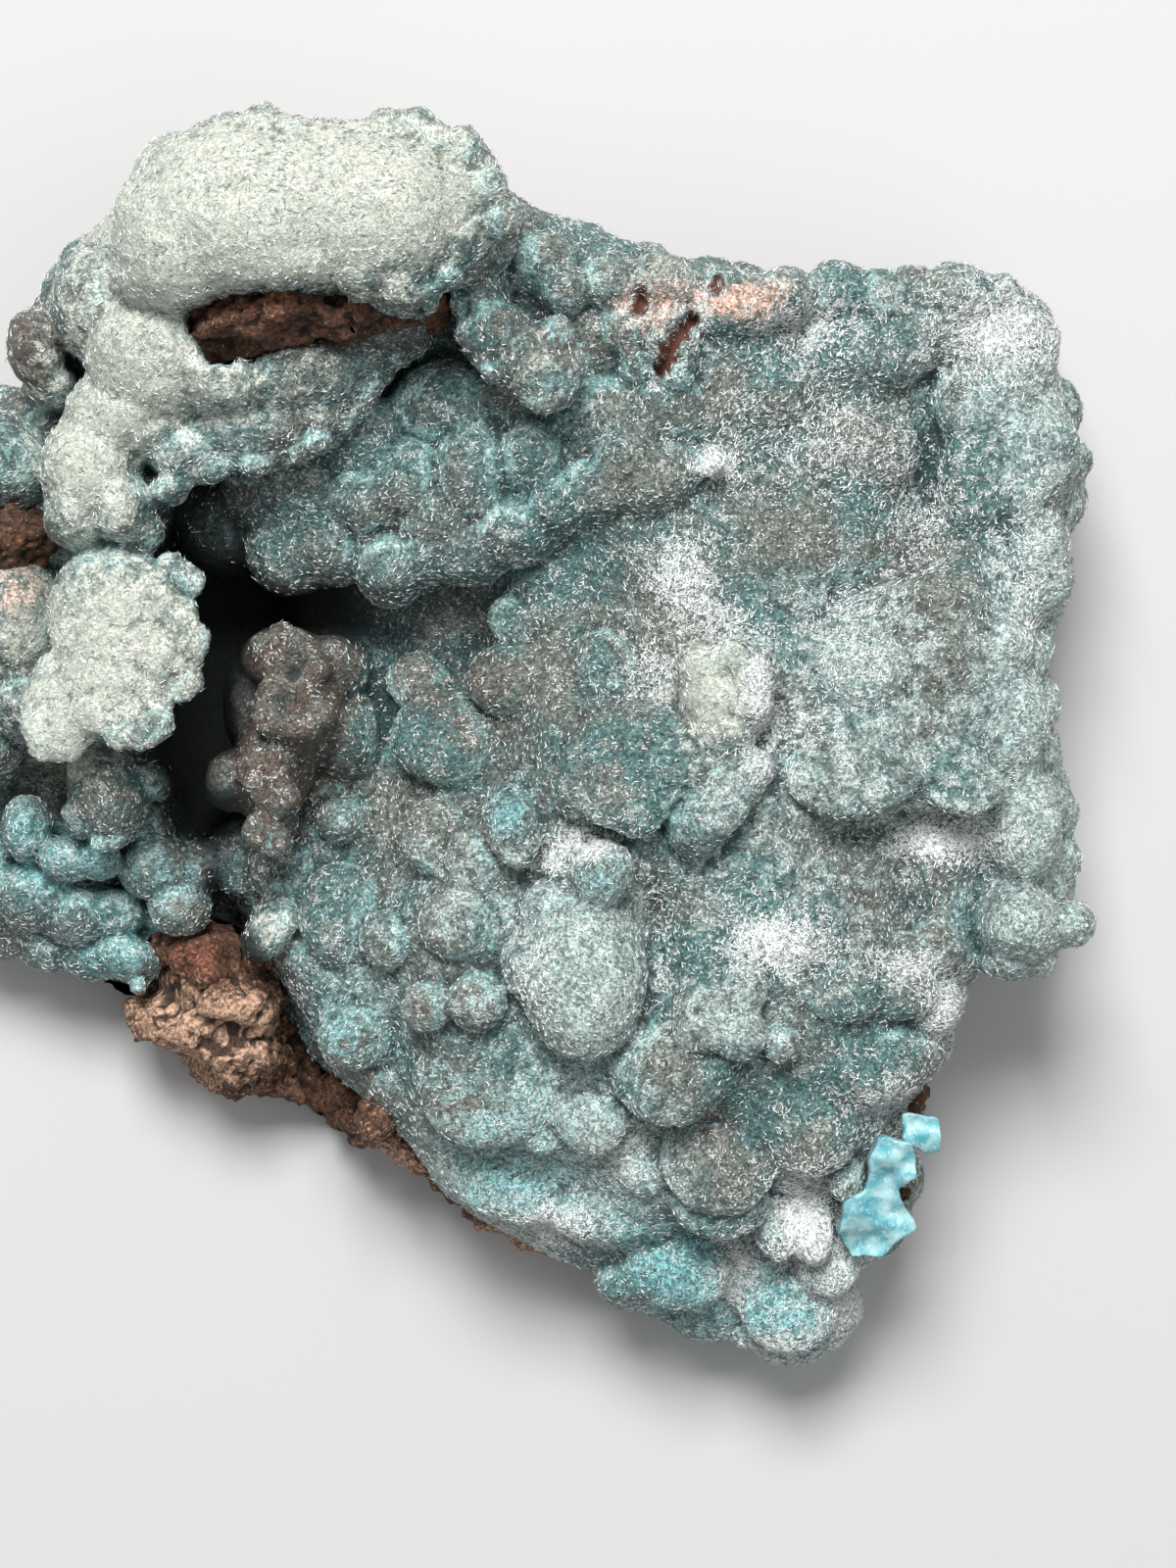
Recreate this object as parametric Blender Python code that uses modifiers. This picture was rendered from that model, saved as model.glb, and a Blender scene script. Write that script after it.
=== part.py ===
# Hemimorphite specimen: a botryoidal blue-green crust grown over a brown limonite matrix.
# Metres, +Z up. The matrix rests on a flat cut face at z = 0, and the showy face looks up.
# Places and sizes below are written in millimetres and turned into metres by MM.

import math
import random

import bmesh
import bpy
import numpy as np
from mathutils import Matrix, Vector, noise

MM = 0.001

# Driving dimensions, in millimetres.
EYE = 304.0  # height of the eye that the places below were measured from
FOCUS = 24.0  # height at which those places hold as written
CRUST_FOOT = 1.5  # underside of the crust's slab, inside the matrix
FLANK_FOOT = (5.0, 12.0)  # lowest and highest end of the crust's flanks
FLANK_WIDTH = 6.0  # how far in from the outline the raised foot reaches
FLANK_GRAIN = 9.0  # how fast the foot's height changes
SLAB_TOP = 30.0  # height of the plain slab that the relief is pulled from
CRUST_DEPTH = 3.2  # crust thickness over the matrix, under the smooth relief
MATRIX_GAP = 0.35  # free gap between matrix and crust
RELIEF_SPREAD = 3.6  # how far one relief height reaches
RIM_WIDTH = 3.4  # width of the rounded shoulder along the crust's outline
RIM_DROP = 5.0  # how far the shoulder falls
RIM_HEIGHT = 18.0  # height at which the crust's outline shows widest
MATRIX_RIM_HEIGHT = 11.0
UNDERCUT = 0.07  # how far the flanks draw in towards their foot, as a share of the half width
CRUST_VOXEL = 0.85
CRUST_EASE = 5  # rounds of smoothing, which melt the lobes into each other
DOMES = [(6.0, 1.3)]  # cell size and height of the rounded bumps all over the crust
DOME_LEVEL = 0.75  # part of a dome that stays under the surface it grows on
LOBE_LEVEL = 0.3  # how far down a lobe its written place holds, as a share of its half height
MATRIX_VOXEL = 1.3
MATRIX_FUSE_VOXEL = 0.9
MATRIX_SPREAD = 2.2  # the lowest relief this near sets the matrix's height
MATRIX_LEAST = 2.0  # lowest height of the matrix
MATRIX_SHOULDER = (4.0, 3.0)  # width and fall of the matrix's rim
MATRIX_SLAB_FOOT = -3.0  # the slab starts below the rest face and is cut there
ROCK_ROUGHNESS = [(1.3, 8.0), (0.6, 2.6)]  # reach and grain of the broken rock's unevenness
CRUST_TRIANGLES = 6500
MATRIX_TRIANGLES = 2300
SEED = 11

# Outline of the crust seen from above, clockwise from the back left corner.
CRUST_OUTLINE = [
    (-33.5, 33.0), (-29.5, 36.0), (-26.5, 39.5), (-21.5, 41.0), (-14.0, 40.8), (-8.5, 39.6), (-5.4, 36.8),
    (-0.5, 35.0), (5.8, 32.9), (12.0, 31.9), (18.0, 32.2), (24.0, 32.4), (28.6, 30.8), (29.8, 26.0),
    (31.4, 22.4), (31.0, 18.6), (30.2, 13.5), (28.8, 9.0), (29.2, 4.0), (30.4, -1.0), (30.4, -7.0),
    (26.5, -10.5), (24.0, -12.5), (22.6, -16.5), (20.6, -20.0), (20.8, -23.5), (19.4, -29.0), (17.0, -31.0),
    (16.4, -34.4), (13.0, -36.4), (9.0, -35.8), (3.0, -33.0), (-2.5, -31.2), (-9.2, -27.4), (-12.0, -23.0),
    (-14.6, -20.4), (-17.6, -19.6), (-20.0, -18.0), (-20.3, -14.6), (-22.4, -11.0), (-25.5, -9.2),
    (-28.2, -9.8), (-30.2, -12.4), (-34.0, -10.9), (-39.0, -10.6), (-42.0, -6.0), (-41.4, 2.0), (-42.4, 9.0),
    (-41.6, 16.0), (-42.8, 21.0), (-38.5, 24.3), (-35.0, 25.0), (-36.0, 29.5),
]

# Outline of the matrix. It stands proud of the crust along the broken front left side.
MATRIX_OUTLINE = [
    (-29.0, 33.0), (-21.0, 37.6), (-9.0, 36.6), (2.0, 31.6), (14.0, 29.4), (25.6, 28.6), (27.6, 20.0),
    (26.0, 8.0), (27.0, -4.0), (22.6, -12.0), (20.6, -20.2), (18.0, -26.6), (14.0, -31.0), (6.0, -30.4),
    (-2.0, -31.0), (-7.6, -28.8), (-11.4, -25.0), (-15.0, -22.2), (-20.4, -20.0), (-25.0, -18.8),
    (-28.6, -15.6), (-31.0, -12.4), (-35.6, -11.0), (-39.0, -7.0), (-38.6, 3.0), (-39.4, 15.0), (-34.6, 24.0),
]

# Heights of the smooth relief under the lobes: x, y, height.
RELIEF = [
    (-27.0, 31.0, 28.0), (-19.0, 37.0, 31.0), (-10.0, 36.5, 30.0), (-34.0, 28.5, 22.0), (-39.0, 20.0, 20.0),
    (-31.5, 19.0, 22.0), (-32.0, 8.0, 16.0), (-38.5, 8.0, 17.0), (-37.0, -1.5, 9.0), (-38.0, -7.0, 10.5),
    (-30.0, -7.5, 10.5), (-26.5, -10.5, 10.0), (-22.0, 17.5, 13.0), (-24.5, 11.0, 5.6), (-25.5, 3.5, 5.6),
    (-24.0, -2.0, 7.6), (-14.5, 9.0, 12.5), (-13.5, 2.0, 15.0), (-29.0, -1.0, 8.0), (-9.0, 10.0, 16.0),
    (-8.0, 3.5, 18.5), (-1.0, 10.5, 21.5), (6.0, 12.5, 24.2), (-0.5, 3.5, 24.2), (-16.0, -5.0, 14.5),
    (-21.0, -7.0, 11.5), (-15.5, -12.0, 18.0), (-8.0, -7.5, 22.4), (-8.0, -16.0, 21.4), (-3.0, -20.0, 20.6),
    (-12.5, -18.5, 16.4), (-17.5, -16.0, 13.0), (4.0, -8.0, 23.4), (4.6, -15.0, 23.4), (4.0, -26.0, 18.4),
    (-5.0, -25.5, 15.6), (-4.0, -29.0, 12.4), (1.5, -30.5, 12.4), (10.0, -31.0, 13.0), (13.0, -34.5, 8.6),
    (6.0, -32.5, 9.6), (14.0, -8.0, 23.8), (20.8, -7.6, 21.4), (16.0, -16.0, 22.8), (20.6, -19.6, 17.4),
    (18.5, -27.0, 14.2), (15.4, -21.5, 20.4), (14.0, 3.0, 24.4), (23.5, 4.0, 24.0), (28.5, 1.0, 20.6),
    (28.5, -7.0, 19.6), (13.0, 14.0, 24.0), (21.5, 11.0, 24.2), (28.6, 13.0, 20.4), (13.0, 21.5, 22.8),
    (18.5, 20.5, 22.4), (27.5, 22.0, 21.8), (27.0, 29.0, 22.4), (16.5, 30.0, 22.4), (8.0, 26.0, 25.4),
    (8.0, 31.0, 26.6), (0.0, 31.0, 27.4), (0.5, 22.0, 24.6), (-12.0, 21.0, 21.4), (-13.0, 28.5, 23.0),
]

# Narrow grooves in the relief: width, depth, and the places that each one runs through.
GROOVES = [
    (1.3, 9.0, [(-24.0, -6.5), (-22.2, -9.4), (-20.2, -12.8), (-18.2, -16.2), (-16.8, -18.8)]),
    (1.5, 3.4, [(25.0, 27.4), (22.4, 25.0), (21.6, 21.6), (22.0, 17.6), (21.4, 15.4)]),
    (0.9, 2.2, [(15.2, 12.0), (17.6, 12.8), (20.4, 14.0)]),
    (1.0, 1.8, [(16.4, -3.2), (19.6, -2.6), (23.4, -1.8)]),
    (1.3, 2.2, [(20.2, -5.6), (20.6, -8.6)]),
    (1.1, 2.2, [(25.2, -5.4), (24.8, -9.4)]),
    (0.9, 2.2, [(-8.6, 7.0), (-7.2, 9.0), (-3.8, 9.8)]),
    (1.2, 3.0, [(4.4, -7.6), (4.6, -12.4), (3.6, -17.6)]),
    (0.9, 2.0, [(-12.6, -4.8), (-10.6, -5.8)]),
    (0.9, 2.0, [(-12.0, -15.2), (-12.4, -18.0)]),
]

# Lobes of the crust, group by group: x, y, height of the top, half width in x, y and z, turn in degrees.
LOBES = {
    "upper ledge": [
        (-21.6, 37.0, 42.0, 7.6, 5.4, 6.6, 0), (-14.4, 37.0, 41.4, 6.4, 5.4, 6.6, 0),
        (-25.8, 35.8, 40.4, 4.6, 5.2, 6.0, -14), (-9.4, 37.2, 38.6, 3.9, 5.0, 5.6, 0),
        (-11.6, 40.2, 38.4, 3.4, 3.0, 5.0, 0), (-22.6, 40.0, 38.6, 3.6, 3.0, 5.0, 0),
        (-17.2, 39.6, 39.4, 4.0, 3.0, 5.0, 0), (-26.6, 38.8, 37.4, 2.6, 3.0, 4.6, -20),
        (-12.4, 32.2, 38.6, 2.1, 1.9, 3.4, 0), (-11.0, 31.3, 37.4, 1.5, 1.3, 2.8, 0),
        (-14.8, 33.0, 39.4, 2.2, 1.9, 3.4, 0), (-28.2, 33.4, 37.4, 2.4, 3.0, 4.6, 0),
        (-6.8, 35.8, 35.4, 2.2, 3.2, 4.4, 0), (-25.4, 32.4, 38.4, 2.2, 1.6, 3.0, 0),
        (-19.6, 34.0, 40.6, 5.0, 2.4, 4.0, 4),
    ],
    "lower ledge": [
        (-27.4, 28.2, 34.6, 5.0, 4.6, 6.0, 0), (-31.6, 30.6, 32.4, 3.0, 3.2, 5.0, 0),
        (-32.0, 32.8, 31.0, 2.0, 1.8, 4.0, 0), (-24.0, 26.2, 34.2, 3.2, 2.2, 3.6, -20),
        (-19.4, 26.4, 32.8, 3.6, 2.4, 4.0, 10), (-16.6, 26.2, 31.8, 2.0, 2.2, 3.4, 0),
        (-29.0, 24.0, 31.6, 4.6, 3.2, 5.0, 10), (-21.6, 22.9, 30.6, 5.4, 2.6, 4.6, 6),
        (-25.8, 21.2, 30.2, 2.4, 1.9, 3.6, 0), (-17.2, 23.8, 30.0, 2.4, 2.2, 4.0, 30),
        (-14.8, 27.2, 30.6, 2.6, 2.2, 4.0, 30), (-12.6, 28.8, 30.6, 2.6, 1.8, 3.6, 20),
        (-26.8, 19.0, 26.4, 1.5, 1.3, 2.4, 0), (-35.4, 27.8, 28.6, 1.8, 2.6, 4.6, 16),
        (-34.2, 25.4, 26.6, 1.6, 1.4, 3.4, 0),
    ],
    "left lobes": [
        (-38.8, 20.6, 27.0, 4.2, 3.4, 5.0, 0), (-32.0, 20.0, 31.0, 3.3, 3.8, 5.6, 0),
        (-30.0, 17.8, 30.2, 2.0, 2.4, 4.0, 0), (-32.8, 17.2, 30.0, 2.2, 1.9, 4.0, 0),
        (-28.2, 16.2, 27.4, 1.1, 1.2, 2.4, 0), (-37.4, 10.6, 24.4, 3.8, 4.6, 6.0, 0),
        (-36.4, 5.4, 22.0, 2.3, 2.6, 5.0, 0), (-39.2, 2.2, 18.6, 2.8, 2.4, 5.0, 0),
        (-40.2, 15.2, 24.0, 2.6, 3.0, 5.0, 0),
    ],
    "leaf": [
        (-28.6, 11.2, 28.0, 4.0, 4.0, 3.6, 0), (-28.4, 7.0, 28.0, 4.0, 4.4, 3.6, -12),
        (-31.8, 12.6, 28.0, 2.8, 2.8, 4.0, 0), (-32.6, 8.0, 27.2, 2.8, 5.0, 3.6, -14),
        (-34.0, 4.0, 26.4, 2.3, 3.6, 3.6, -14), (-29.8, 3.8, 27.2, 2.8, 2.6, 3.4, 0),
        (-26.8, 13.0, 27.6, 2.0, 1.9, 2.8, 0), (-26.4, 8.4, 27.4, 2.1, 1.8, 2.8, 0),
        (-31.4, 9.0, 25.0, 3.0, 5.0, 8.0, 0), (-31.0, -0.6, 21.6, 2.6, 3.6, 5.0, 8),
        (-28.0, 0.2, 19.6, 1.4, 1.3, 3.0, 0),
    ],
    "front left mass": [
        (-36.0, -3.0, 17.4, 1.5, 2.2, 4.0, 0), (-33.5, -4.9, 18.0, 1.7, 1.4, 3.0, 0),
        (-31.4, -4.8, 17.2, 1.3, 1.3, 3.0, 0), (-35.4, -7.2, 14.6, 3.2, 2.2, 4.0, 0),
        (-27.0, -6.5, 15.6, 2.6, 2.8, 4.6, 0), (-28.2, -3.0, 13.8, 1.6, 1.9, 3.6, 0),
        (-30.8, -8.4, 13.0, 2.4, 1.8, 3.4, 0), (-39.2, -5.6, 13.4, 2.6, 3.0, 4.6, 0),
        (-29.6, -11.0, 12.2, 2.4, 1.4, 3.0, -30), (-33.0, -8.4, 14.4, 2.2, 1.9, 3.6, 0),
    ],
    "island": [
        (-19.6, 7.8, 22.4, 2.9, 2.4, 6.0, 0), (-18.4, 4.6, 22.2, 3.1, 3.6, 6.0, 0),
        (-20.4, 1.0, 21.2, 2.6, 3.6, 6.0, -12), (-20.3, -2.4, 20.6, 1.5, 1.9, 5.0, 0),
        (-23.8, 0.0, 16.2, 1.5, 1.6, 4.0, 0), (-22.0, 5.0, 19.0, 1.5, 3.0, 5.0, 0),
        (-15.9, -2.4, 17.4, 1.6, 1.4, 3.0, 0), (-15.4, 3.2, 19.4, 2.2, 3.0, 5.0, 0),
        (-16.4, 7.2, 20.4, 2.2, 2.4, 5.0, 0),
        (-19.4, 3.0, 18.0, 3.4, 6.0, 11.0, 0),
    ],
    "shelf": [
        (-13.4, 20.0, 25.4, 10.4, 5.4, 6.4, 4), (0.0, 22.0, 26.4, 9.4, 5.2, 6.0, 6),
        (-19.2, 15.2, 24.8, 3.1, 3.2, 5.0, 0), (-12.7, 13.9, 26.4, 2.3, 2.5, 4.6, 10),
        (-9.4, 17.0, 26.6, 3.0, 2.4, 4.4, 0), (-4.8, 16.2, 27.2, 3.0, 2.1, 4.2, 8),
        (-14.2, 18.4, 26.6, 2.8, 2.5, 4.0, 0), (-7.6, 20.2, 28.4, 2.3, 3.2, 4.0, 0),
        (-3.6, 21.0, 28.2, 2.1, 2.3, 3.6, 0), (0.2, 18.9, 27.6, 3.0, 2.1, 4.0, 8),
        (4.2, 19.8, 27.8, 3.1, 2.5, 4.0, 22), (-23.2, 16.6, 21.6, 3.4, 3.2, 5.0, 0),
        (0.6, 23.6, 28.0, 3.6, 2.8, 4.0, 0), (-9.2, 24.4, 27.4, 3.6, 2.8, 4.0, 0),
        (-14.8, 22.4, 27.4, 3.0, 2.8, 4.0, 0), (-18.2, 18.8, 24.8, 2.8, 2.4, 4.0, 0),
        (-4.2, 25.6, 27.6, 3.4, 2.6, 4.0, 0), (4.8, 24.2, 27.8, 3.0, 2.6, 4.0, 0),
        (7.8, 20.4, 27.2, 1.4, 1.0, 2.6, 30),
    ],
    "hanging finger": [
        (-6.7, 31.4, 32.8, 1.7, 2.6, 5.0, 0), (-5.9, 28.8, 33.4, 2.1, 2.3, 4.6, 0),
        (-4.0, 27.2, 33.4, 2.3, 2.2, 4.0, 20), (-2.5, 26.0, 33.0, 2.0, 1.9, 3.6, 0),
        (-1.9, 28.6, 33.4, 1.1, 1.4, 3.0, 10), (-1.3, 26.9, 32.8, 1.1, 1.3, 3.0, 0),
    ],
    "back edge": [
        (-3.0, 33.2, 31.6, 2.2, 2.0, 5.0, 0), (-1.6, 31.6, 32.4, 1.6, 1.5, 4.0, 0),
        (1.4, 32.2, 31.4, 2.0, 1.8, 4.6, 0), (4.8, 32.2, 31.2, 2.2, 1.5, 4.0, -14),
        (5.2, 28.6, 31.0, 1.9, 3.0, 4.6, 8), (5.6, 26.2, 30.4, 1.1, 1.3, 3.0, 0),
        (3.2, 26.8, 29.4, 1.2, 1.3, 3.6, 0), (9.2, 30.4, 29.6, 3.2, 1.8, 4.6, 0),
        (2.4, 29.4, 29.8, 1.8, 2.0, 4.0, 0), (8.6, 31.8, 28.6, 1.6, 1.4, 3.6, 0),
        (12.6, 31.2, 28.0, 1.9, 1.8, 4.0, 0), (15.8, 31.4, 27.0, 1.9, 2.1, 4.6, 0),
        (18.8, 31.2, 26.4, 1.7, 1.7, 4.0, 0), (23.6, 31.2, 26.4, 2.7, 2.0, 5.0, 0),
        (26.4, 31.4, 25.4, 1.3, 1.3, 3.6, 0),
    ],
    "back right corner": [
        (26.6, 28.4, 27.2, 4.0, 3.8, 6.0, 0), (17.6, 28.2, 26.6, 4.8, 2.8, 4.6, -8),
        (21.6, 30.2, 26.2, 3.6, 2.4, 4.6, 0), (25.0, 24.4, 25.8, 2.9, 3.3, 5.0, 0),
        (28.8, 21.4, 25.0, 2.9, 3.1, 5.0, 0), (27.8, 18.4, 24.8, 1.7, 1.5, 3.6, 0),
        (24.6, 19.4, 25.8, 2.2, 3.4, 4.6, 0), (28.6, 15.4, 23.4, 2.3, 2.5, 5.0, 0),
        (29.6, 12.8, 21.4, 1.8, 1.7, 4.0, 0), (22.6, 12.0, 26.4, 3.2, 1.9, 3.6, 14),
        (14.8, 16.4, 25.6, 2.9, 1.8, 3.0, -6), (17.0, 21.4, 24.8, 4.6, 3.0, 4.0, 0),
        (11.6, 25.4, 26.4, 3.0, 2.4, 4.0, 0),
    ],
    "right field": [
        (17.5, 7.9, 28.2, 3.0, 3.1, 4.6, 0), (26.8, 9.0, 25.8, 1.9, 2.0, 4.0, 0),
        (22.6, 8.4, 26.2, 2.4, 2.0, 3.6, 0), (17.4, 1.8, 27.2, 4.6, 4.2, 5.0, 0),
        (16.4, -0.8, 27.0, 2.7, 2.1, 4.0, 14), (22.2, 1.0, 26.6, 3.2, 2.9, 4.6, 0),
        (27.6, 4.2, 24.6, 2.0, 3.6, 5.0, 0), (28.2, -2.6, 24.8, 2.4, 3.8, 5.0, 0),
        (22.3, -10.2, 24.6, 1.9, 1.6, 3.6, 0), (13.4, -9.4, 25.6, 3.2, 1.7, 3.6, -12),
        (13.0, 8.6, 26.4, 2.4, 3.0, 4.0, 0),
    ],
    "rim nub": [
        (27.8, -9.0, 24.0, 2.9, 2.7, 5.0, 0), (30.9, -9.0, 22.6, 1.7, 1.5, 3.6, 0),
        (26.8, -11.3, 21.4, 1.8, 1.4, 3.4, 0), (28.9, -11.3, 21.0, 1.1, 1.1, 2.6, 0),
    ],
    "frosted knob": [
        (7.3, 7.4, 30.6, 1.7, 1.9, 4.0, 0), (9.2, 8.1, 30.8, 1.2, 1.2, 3.0, 0),
        (10.6, 6.9, 30.8, 1.6, 2.1, 4.0, 0), (8.2, 5.4, 30.4, 2.3, 2.2, 4.4, 0),
        (10.4, 4.8, 30.2, 1.4, 1.4, 3.6, 0), (8.5, 3.4, 29.4, 2.3, 1.8, 4.0, 0),
        (8.7, -0.4, 28.8, 2.1, 3.1, 4.4, -24), (7.0, -2.9, 28.6, 1.9, 2.0, 4.0, 0),
        (10.7, 0.6, 28.2, 1.1, 1.6, 3.0, -20),
    ],
    "upper plate": [
        (2.4, 1.8, 29.0, 4.6, 3.3, 4.2, 26), (5.4, 2.4, 29.2, 2.5, 1.8, 3.4, 26),
        (3.8, -1.0, 28.8, 2.1, 1.7, 3.4, 40), (-1.0, -0.6, 29.2, 1.3, 1.7, 3.6, 14),
        (1.0, -5.7, 30.0, 2.0, 2.1, 4.4, 0), (-4.9, -2.6, 28.0, 1.7, 2.9, 4.6, 16),
        (1.2, 7.6, 25.6, 2.4, 2.4, 4.0, 0), (-4.6, 6.8, 23.2, 3.3, 2.5, 4.0, 8),
        (-9.0, 3.0, 21.6, 3.8, 3.2, 4.4, 0),
    ],
    "central lobe": [
        (-0.4, -12.0, 30.0, 4.1, 5.9, 7.4, 4), (-3.7, -11.6, 28.2, 1.8, 2.4, 4.6, 0),
        (-2.7, -8.2, 28.0, 1.6, 2.0, 4.4, 0), (-10.4, -14.3, 25.8, 1.6, 1.7, 3.6, 0),
        (-7.1, -14.0, 26.8, 1.9, 1.9, 4.0, 0), (-7.0, -4.6, 25.4, 2.2, 2.5, 4.0, 0),
        (-9.8, -3.4, 24.2, 2.2, 2.6, 4.0, 0), (-8.4, -9.0, 25.8, 2.5, 2.3, 4.0, 0),
        (-12.9, -10.0, 23.6, 1.8, 2.0, 4.0, 0), (-15.8, -8.4, 21.2, 2.8, 3.6, 4.6, 0),
        (-20.2, -9.2, 18.0, 1.5, 2.6, 3.6, -40), (-15.0, -16.0, 19.4, 2.4, 2.5, 4.0, 0),
        (-19.0, -5.6, 15.6, 2.8, 2.6, 4.0, 0), (-22.2, -4.6, 13.8, 2.4, 2.6, 4.0, 0),
    ],
    "front slope": [
        (0.2, -21.6, 24.4, 2.4, 2.2, 3.6, 0), (-6.4, -20.0, 22.4, 4.6, 3.6, 4.0, 0),
        (5.2, -18.4, 26.0, 3.8, 3.8, 4.4, 0), (7.6, -14.8, 28.0, 2.2, 2.5, 4.0, 0),
        (9.7, -15.9, 29.0, 1.7, 1.9, 3.6, 0), (10.0, -13.2, 28.2, 1.5, 1.7, 3.6, 0),
        (12.4, -16.7, 27.2, 1.3, 1.3, 3.0, 0), (8.4, -23.4, 24.4, 4.0, 4.2, 5.0, 0),
        (8.4, -26.8, 22.8, 3.5, 2.6, 4.4, 0), (14.5, -22.4, 23.6, 3.1, 3.0, 4.6, 0),
        (16.4, -13.0, 26.2, 2.5, 2.4, 4.0, 0), (20.0, -13.2, 25.8, 2.2, 2.0, 4.0, 0),
        (22.2, -14.2, 24.0, 1.7, 1.8, 4.0, 0), (18.4, -18.0, 24.4, 3.2, 2.8, 4.6, 0),
        (21.0, -17.2, 22.4, 1.9, 2.4, 4.0, 0), (5.6, -30.8, 17.0, 3.6, 3.0, 4.6, -12),
        (12.9, -33.2, 15.6, 3.5, 3.3, 5.0, 0), (15.4, -30.4, 16.4, 2.1, 2.6, 4.0, 0),
        (11.6, -27.8, 20.4, 1.3, 3.0, 4.0, 18), (14.1, -28.0, 20.0, 1.4, 2.8, 4.0, 10),
        (16.5, -25.0, 21.0, 1.3, 1.9, 3.6, 0), (18.2, -27.8, 18.6, 2.3, 2.4, 3.6, 0),
        (19.2, -24.0, 19.4, 1.7, 2.6, 3.6, 0), (21.2, -22.3, 19.0, 0.9, 1.4, 2.6, 30),
        (-6.0, -25.6, 17.6, 4.2, 2.2, 3.6, -28), (0.6, -27.4, 17.0, 4.4, 2.2, 3.6, -14),
    ],
}

# How much of its height over the relief each group of lobes keeps.
LOBE_RISE = {
    "upper ledge": 1.0, "lower ledge": 1.0, "left lobes": 1.0, "leaf": 1.0, "front left mass": 1.0,
    "island": 1.0, "shelf": 0.9, "hanging finger": 1.0, "back edge": 0.7, "back right corner": 0.5,
    "right field": 0.5, "rim nub": 1.0, "frosted knob": 0.45, "upper plate": 0.55, "central lobe": 0.6,
    "front slope": 0.5,
}

# Beads along the crust's outline, in tiers: how far in from the outline, how far under the rim, bead size.
RIM_TIERS = [(1.1, 2.6, 1.6), (0.9, 5.4, 2.0), (1.5, 8.6, 2.3), (2.4, 12.0, 2.3)]
RIM_BEAD_STEP = 3.3
BARE_SIDE = (-31.0, 0.5, -8.0)  # x range and highest y of the broken front side, which has no beads

# Brown core that shows in the break of the ledge: x, y, height of the top, half widths, turn.
LEDGE_CORE = [
    (-20.4, 30.0, 37.0, 5.0, 2.5, 6.0, 4), (-14.4, 30.6, 35.6, 4.8, 1.5, 5.0, 8),
    (-24.0, 29.4, 36.6, 2.6, 2.2, 5.0, 24), (-17.6, 29.6, 35.8, 3.4, 1.9, 5.0, 10),
    (-20.0, 31.0, 30.0, 6.0, 4.0, 9.0, 0), (-19.0, 32.0, 24.0, 8.0, 5.0, 9.0, 0),
]
# Lumps of the broken front left face.
FRONT_ROCK = [
    (-25.2, -11.6, 12.6, 3.6, 2.8, 5.0, -30), (-22.6, -14.4, 13.4, 2.9, 2.4, 5.0, 0),
    (-25.6, -15.6, 12.6, 3.0, 2.6, 5.0, 0), (-22.6, -17.6, 12.2, 3.2, 2.2, 5.0, -10),
    (-28.0, -14.8, 10.6, 2.0, 2.2, 4.0, 0), (-13.6, -21.4, 15.0, 1.4, 1.9, 4.0, 0),
]


def clear_scene():
    for old in list(bpy.data.objects):
        bpy.data.objects.remove(old)


def collection(name, hidden=False):
    made = bpy.data.collections.new(name)
    bpy.context.scene.collection.children.link(made)
    made.hide_render = hidden
    return made


def material(name, colour, roughness):
    made = bpy.data.materials.new(name)
    made.use_nodes = True
    shader = made.node_tree.nodes["Principled BSDF"]
    shader.inputs["Base Color"].default_value = (*colour, 1.0)
    shader.inputs["Roughness"].default_value = roughness
    shader.inputs["Metallic"].default_value = 0.0
    return made


def guide(name, mesh, where):
    made = bpy.data.objects.new(name, mesh)
    where.objects.link(made)
    made.hide_render = True
    made.display_type = "WIRE"
    return made


def evaluated_mesh(thing):
    graph = bpy.context.evaluated_depsgraph_get()
    return bpy.data.meshes.new_from_object(thing.evaluated_get(graph))


def in_sight(x, y, z):
    """A place as seen from the eye, carried along the line of sight to its own height."""
    share = (EYE - z) / (EYE - FOCUS)
    return x * share, y * share


def ball_mesh(subdivisions):
    bm = bmesh.new()
    bmesh.ops.create_icosphere(bm, subdivisions=subdivisions, radius=1.0)
    corners = np.array([vert.co for vert in bm.verts])
    faces = np.array([[vert.index for vert in face.verts] for face in bm.faces])
    bm.free()
    return corners, faces


def lobe_mesh(name, lobes):
    """Ellipsoids, each set by its place, the height of its top, its half widths and its turn."""
    balls = {detail: ball_mesh(detail) for detail in (2, 3)}
    corners, faces, count = [], [], 0
    for x, y, top, half_x, half_y, half_z, turn in lobes:
        ball, ball_faces = balls[3 if min(half_x, half_y) > 2.4 else 2]
        x, y = in_sight(x, y, top - LOBE_LEVEL * half_z)
        spin = np.array(Matrix.Rotation(math.radians(turn), 3, "Z"))
        corners.append((ball * (half_x, half_y, half_z)) @ spin.T + (x, y, top - half_z))
        faces.append(ball_faces + count)
        count += len(ball)
    mesh = bpy.data.meshes.new(name)
    mesh.from_pydata((np.concatenate(corners) * MM).tolist(), [], np.concatenate(faces).tolist())
    return mesh


def joined(name, meshes):
    bm = bmesh.new()
    for mesh in meshes:
        bm.from_mesh(mesh)
    made = bpy.data.meshes.new(name)
    bm.to_mesh(made)
    bm.free()
    return made


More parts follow.
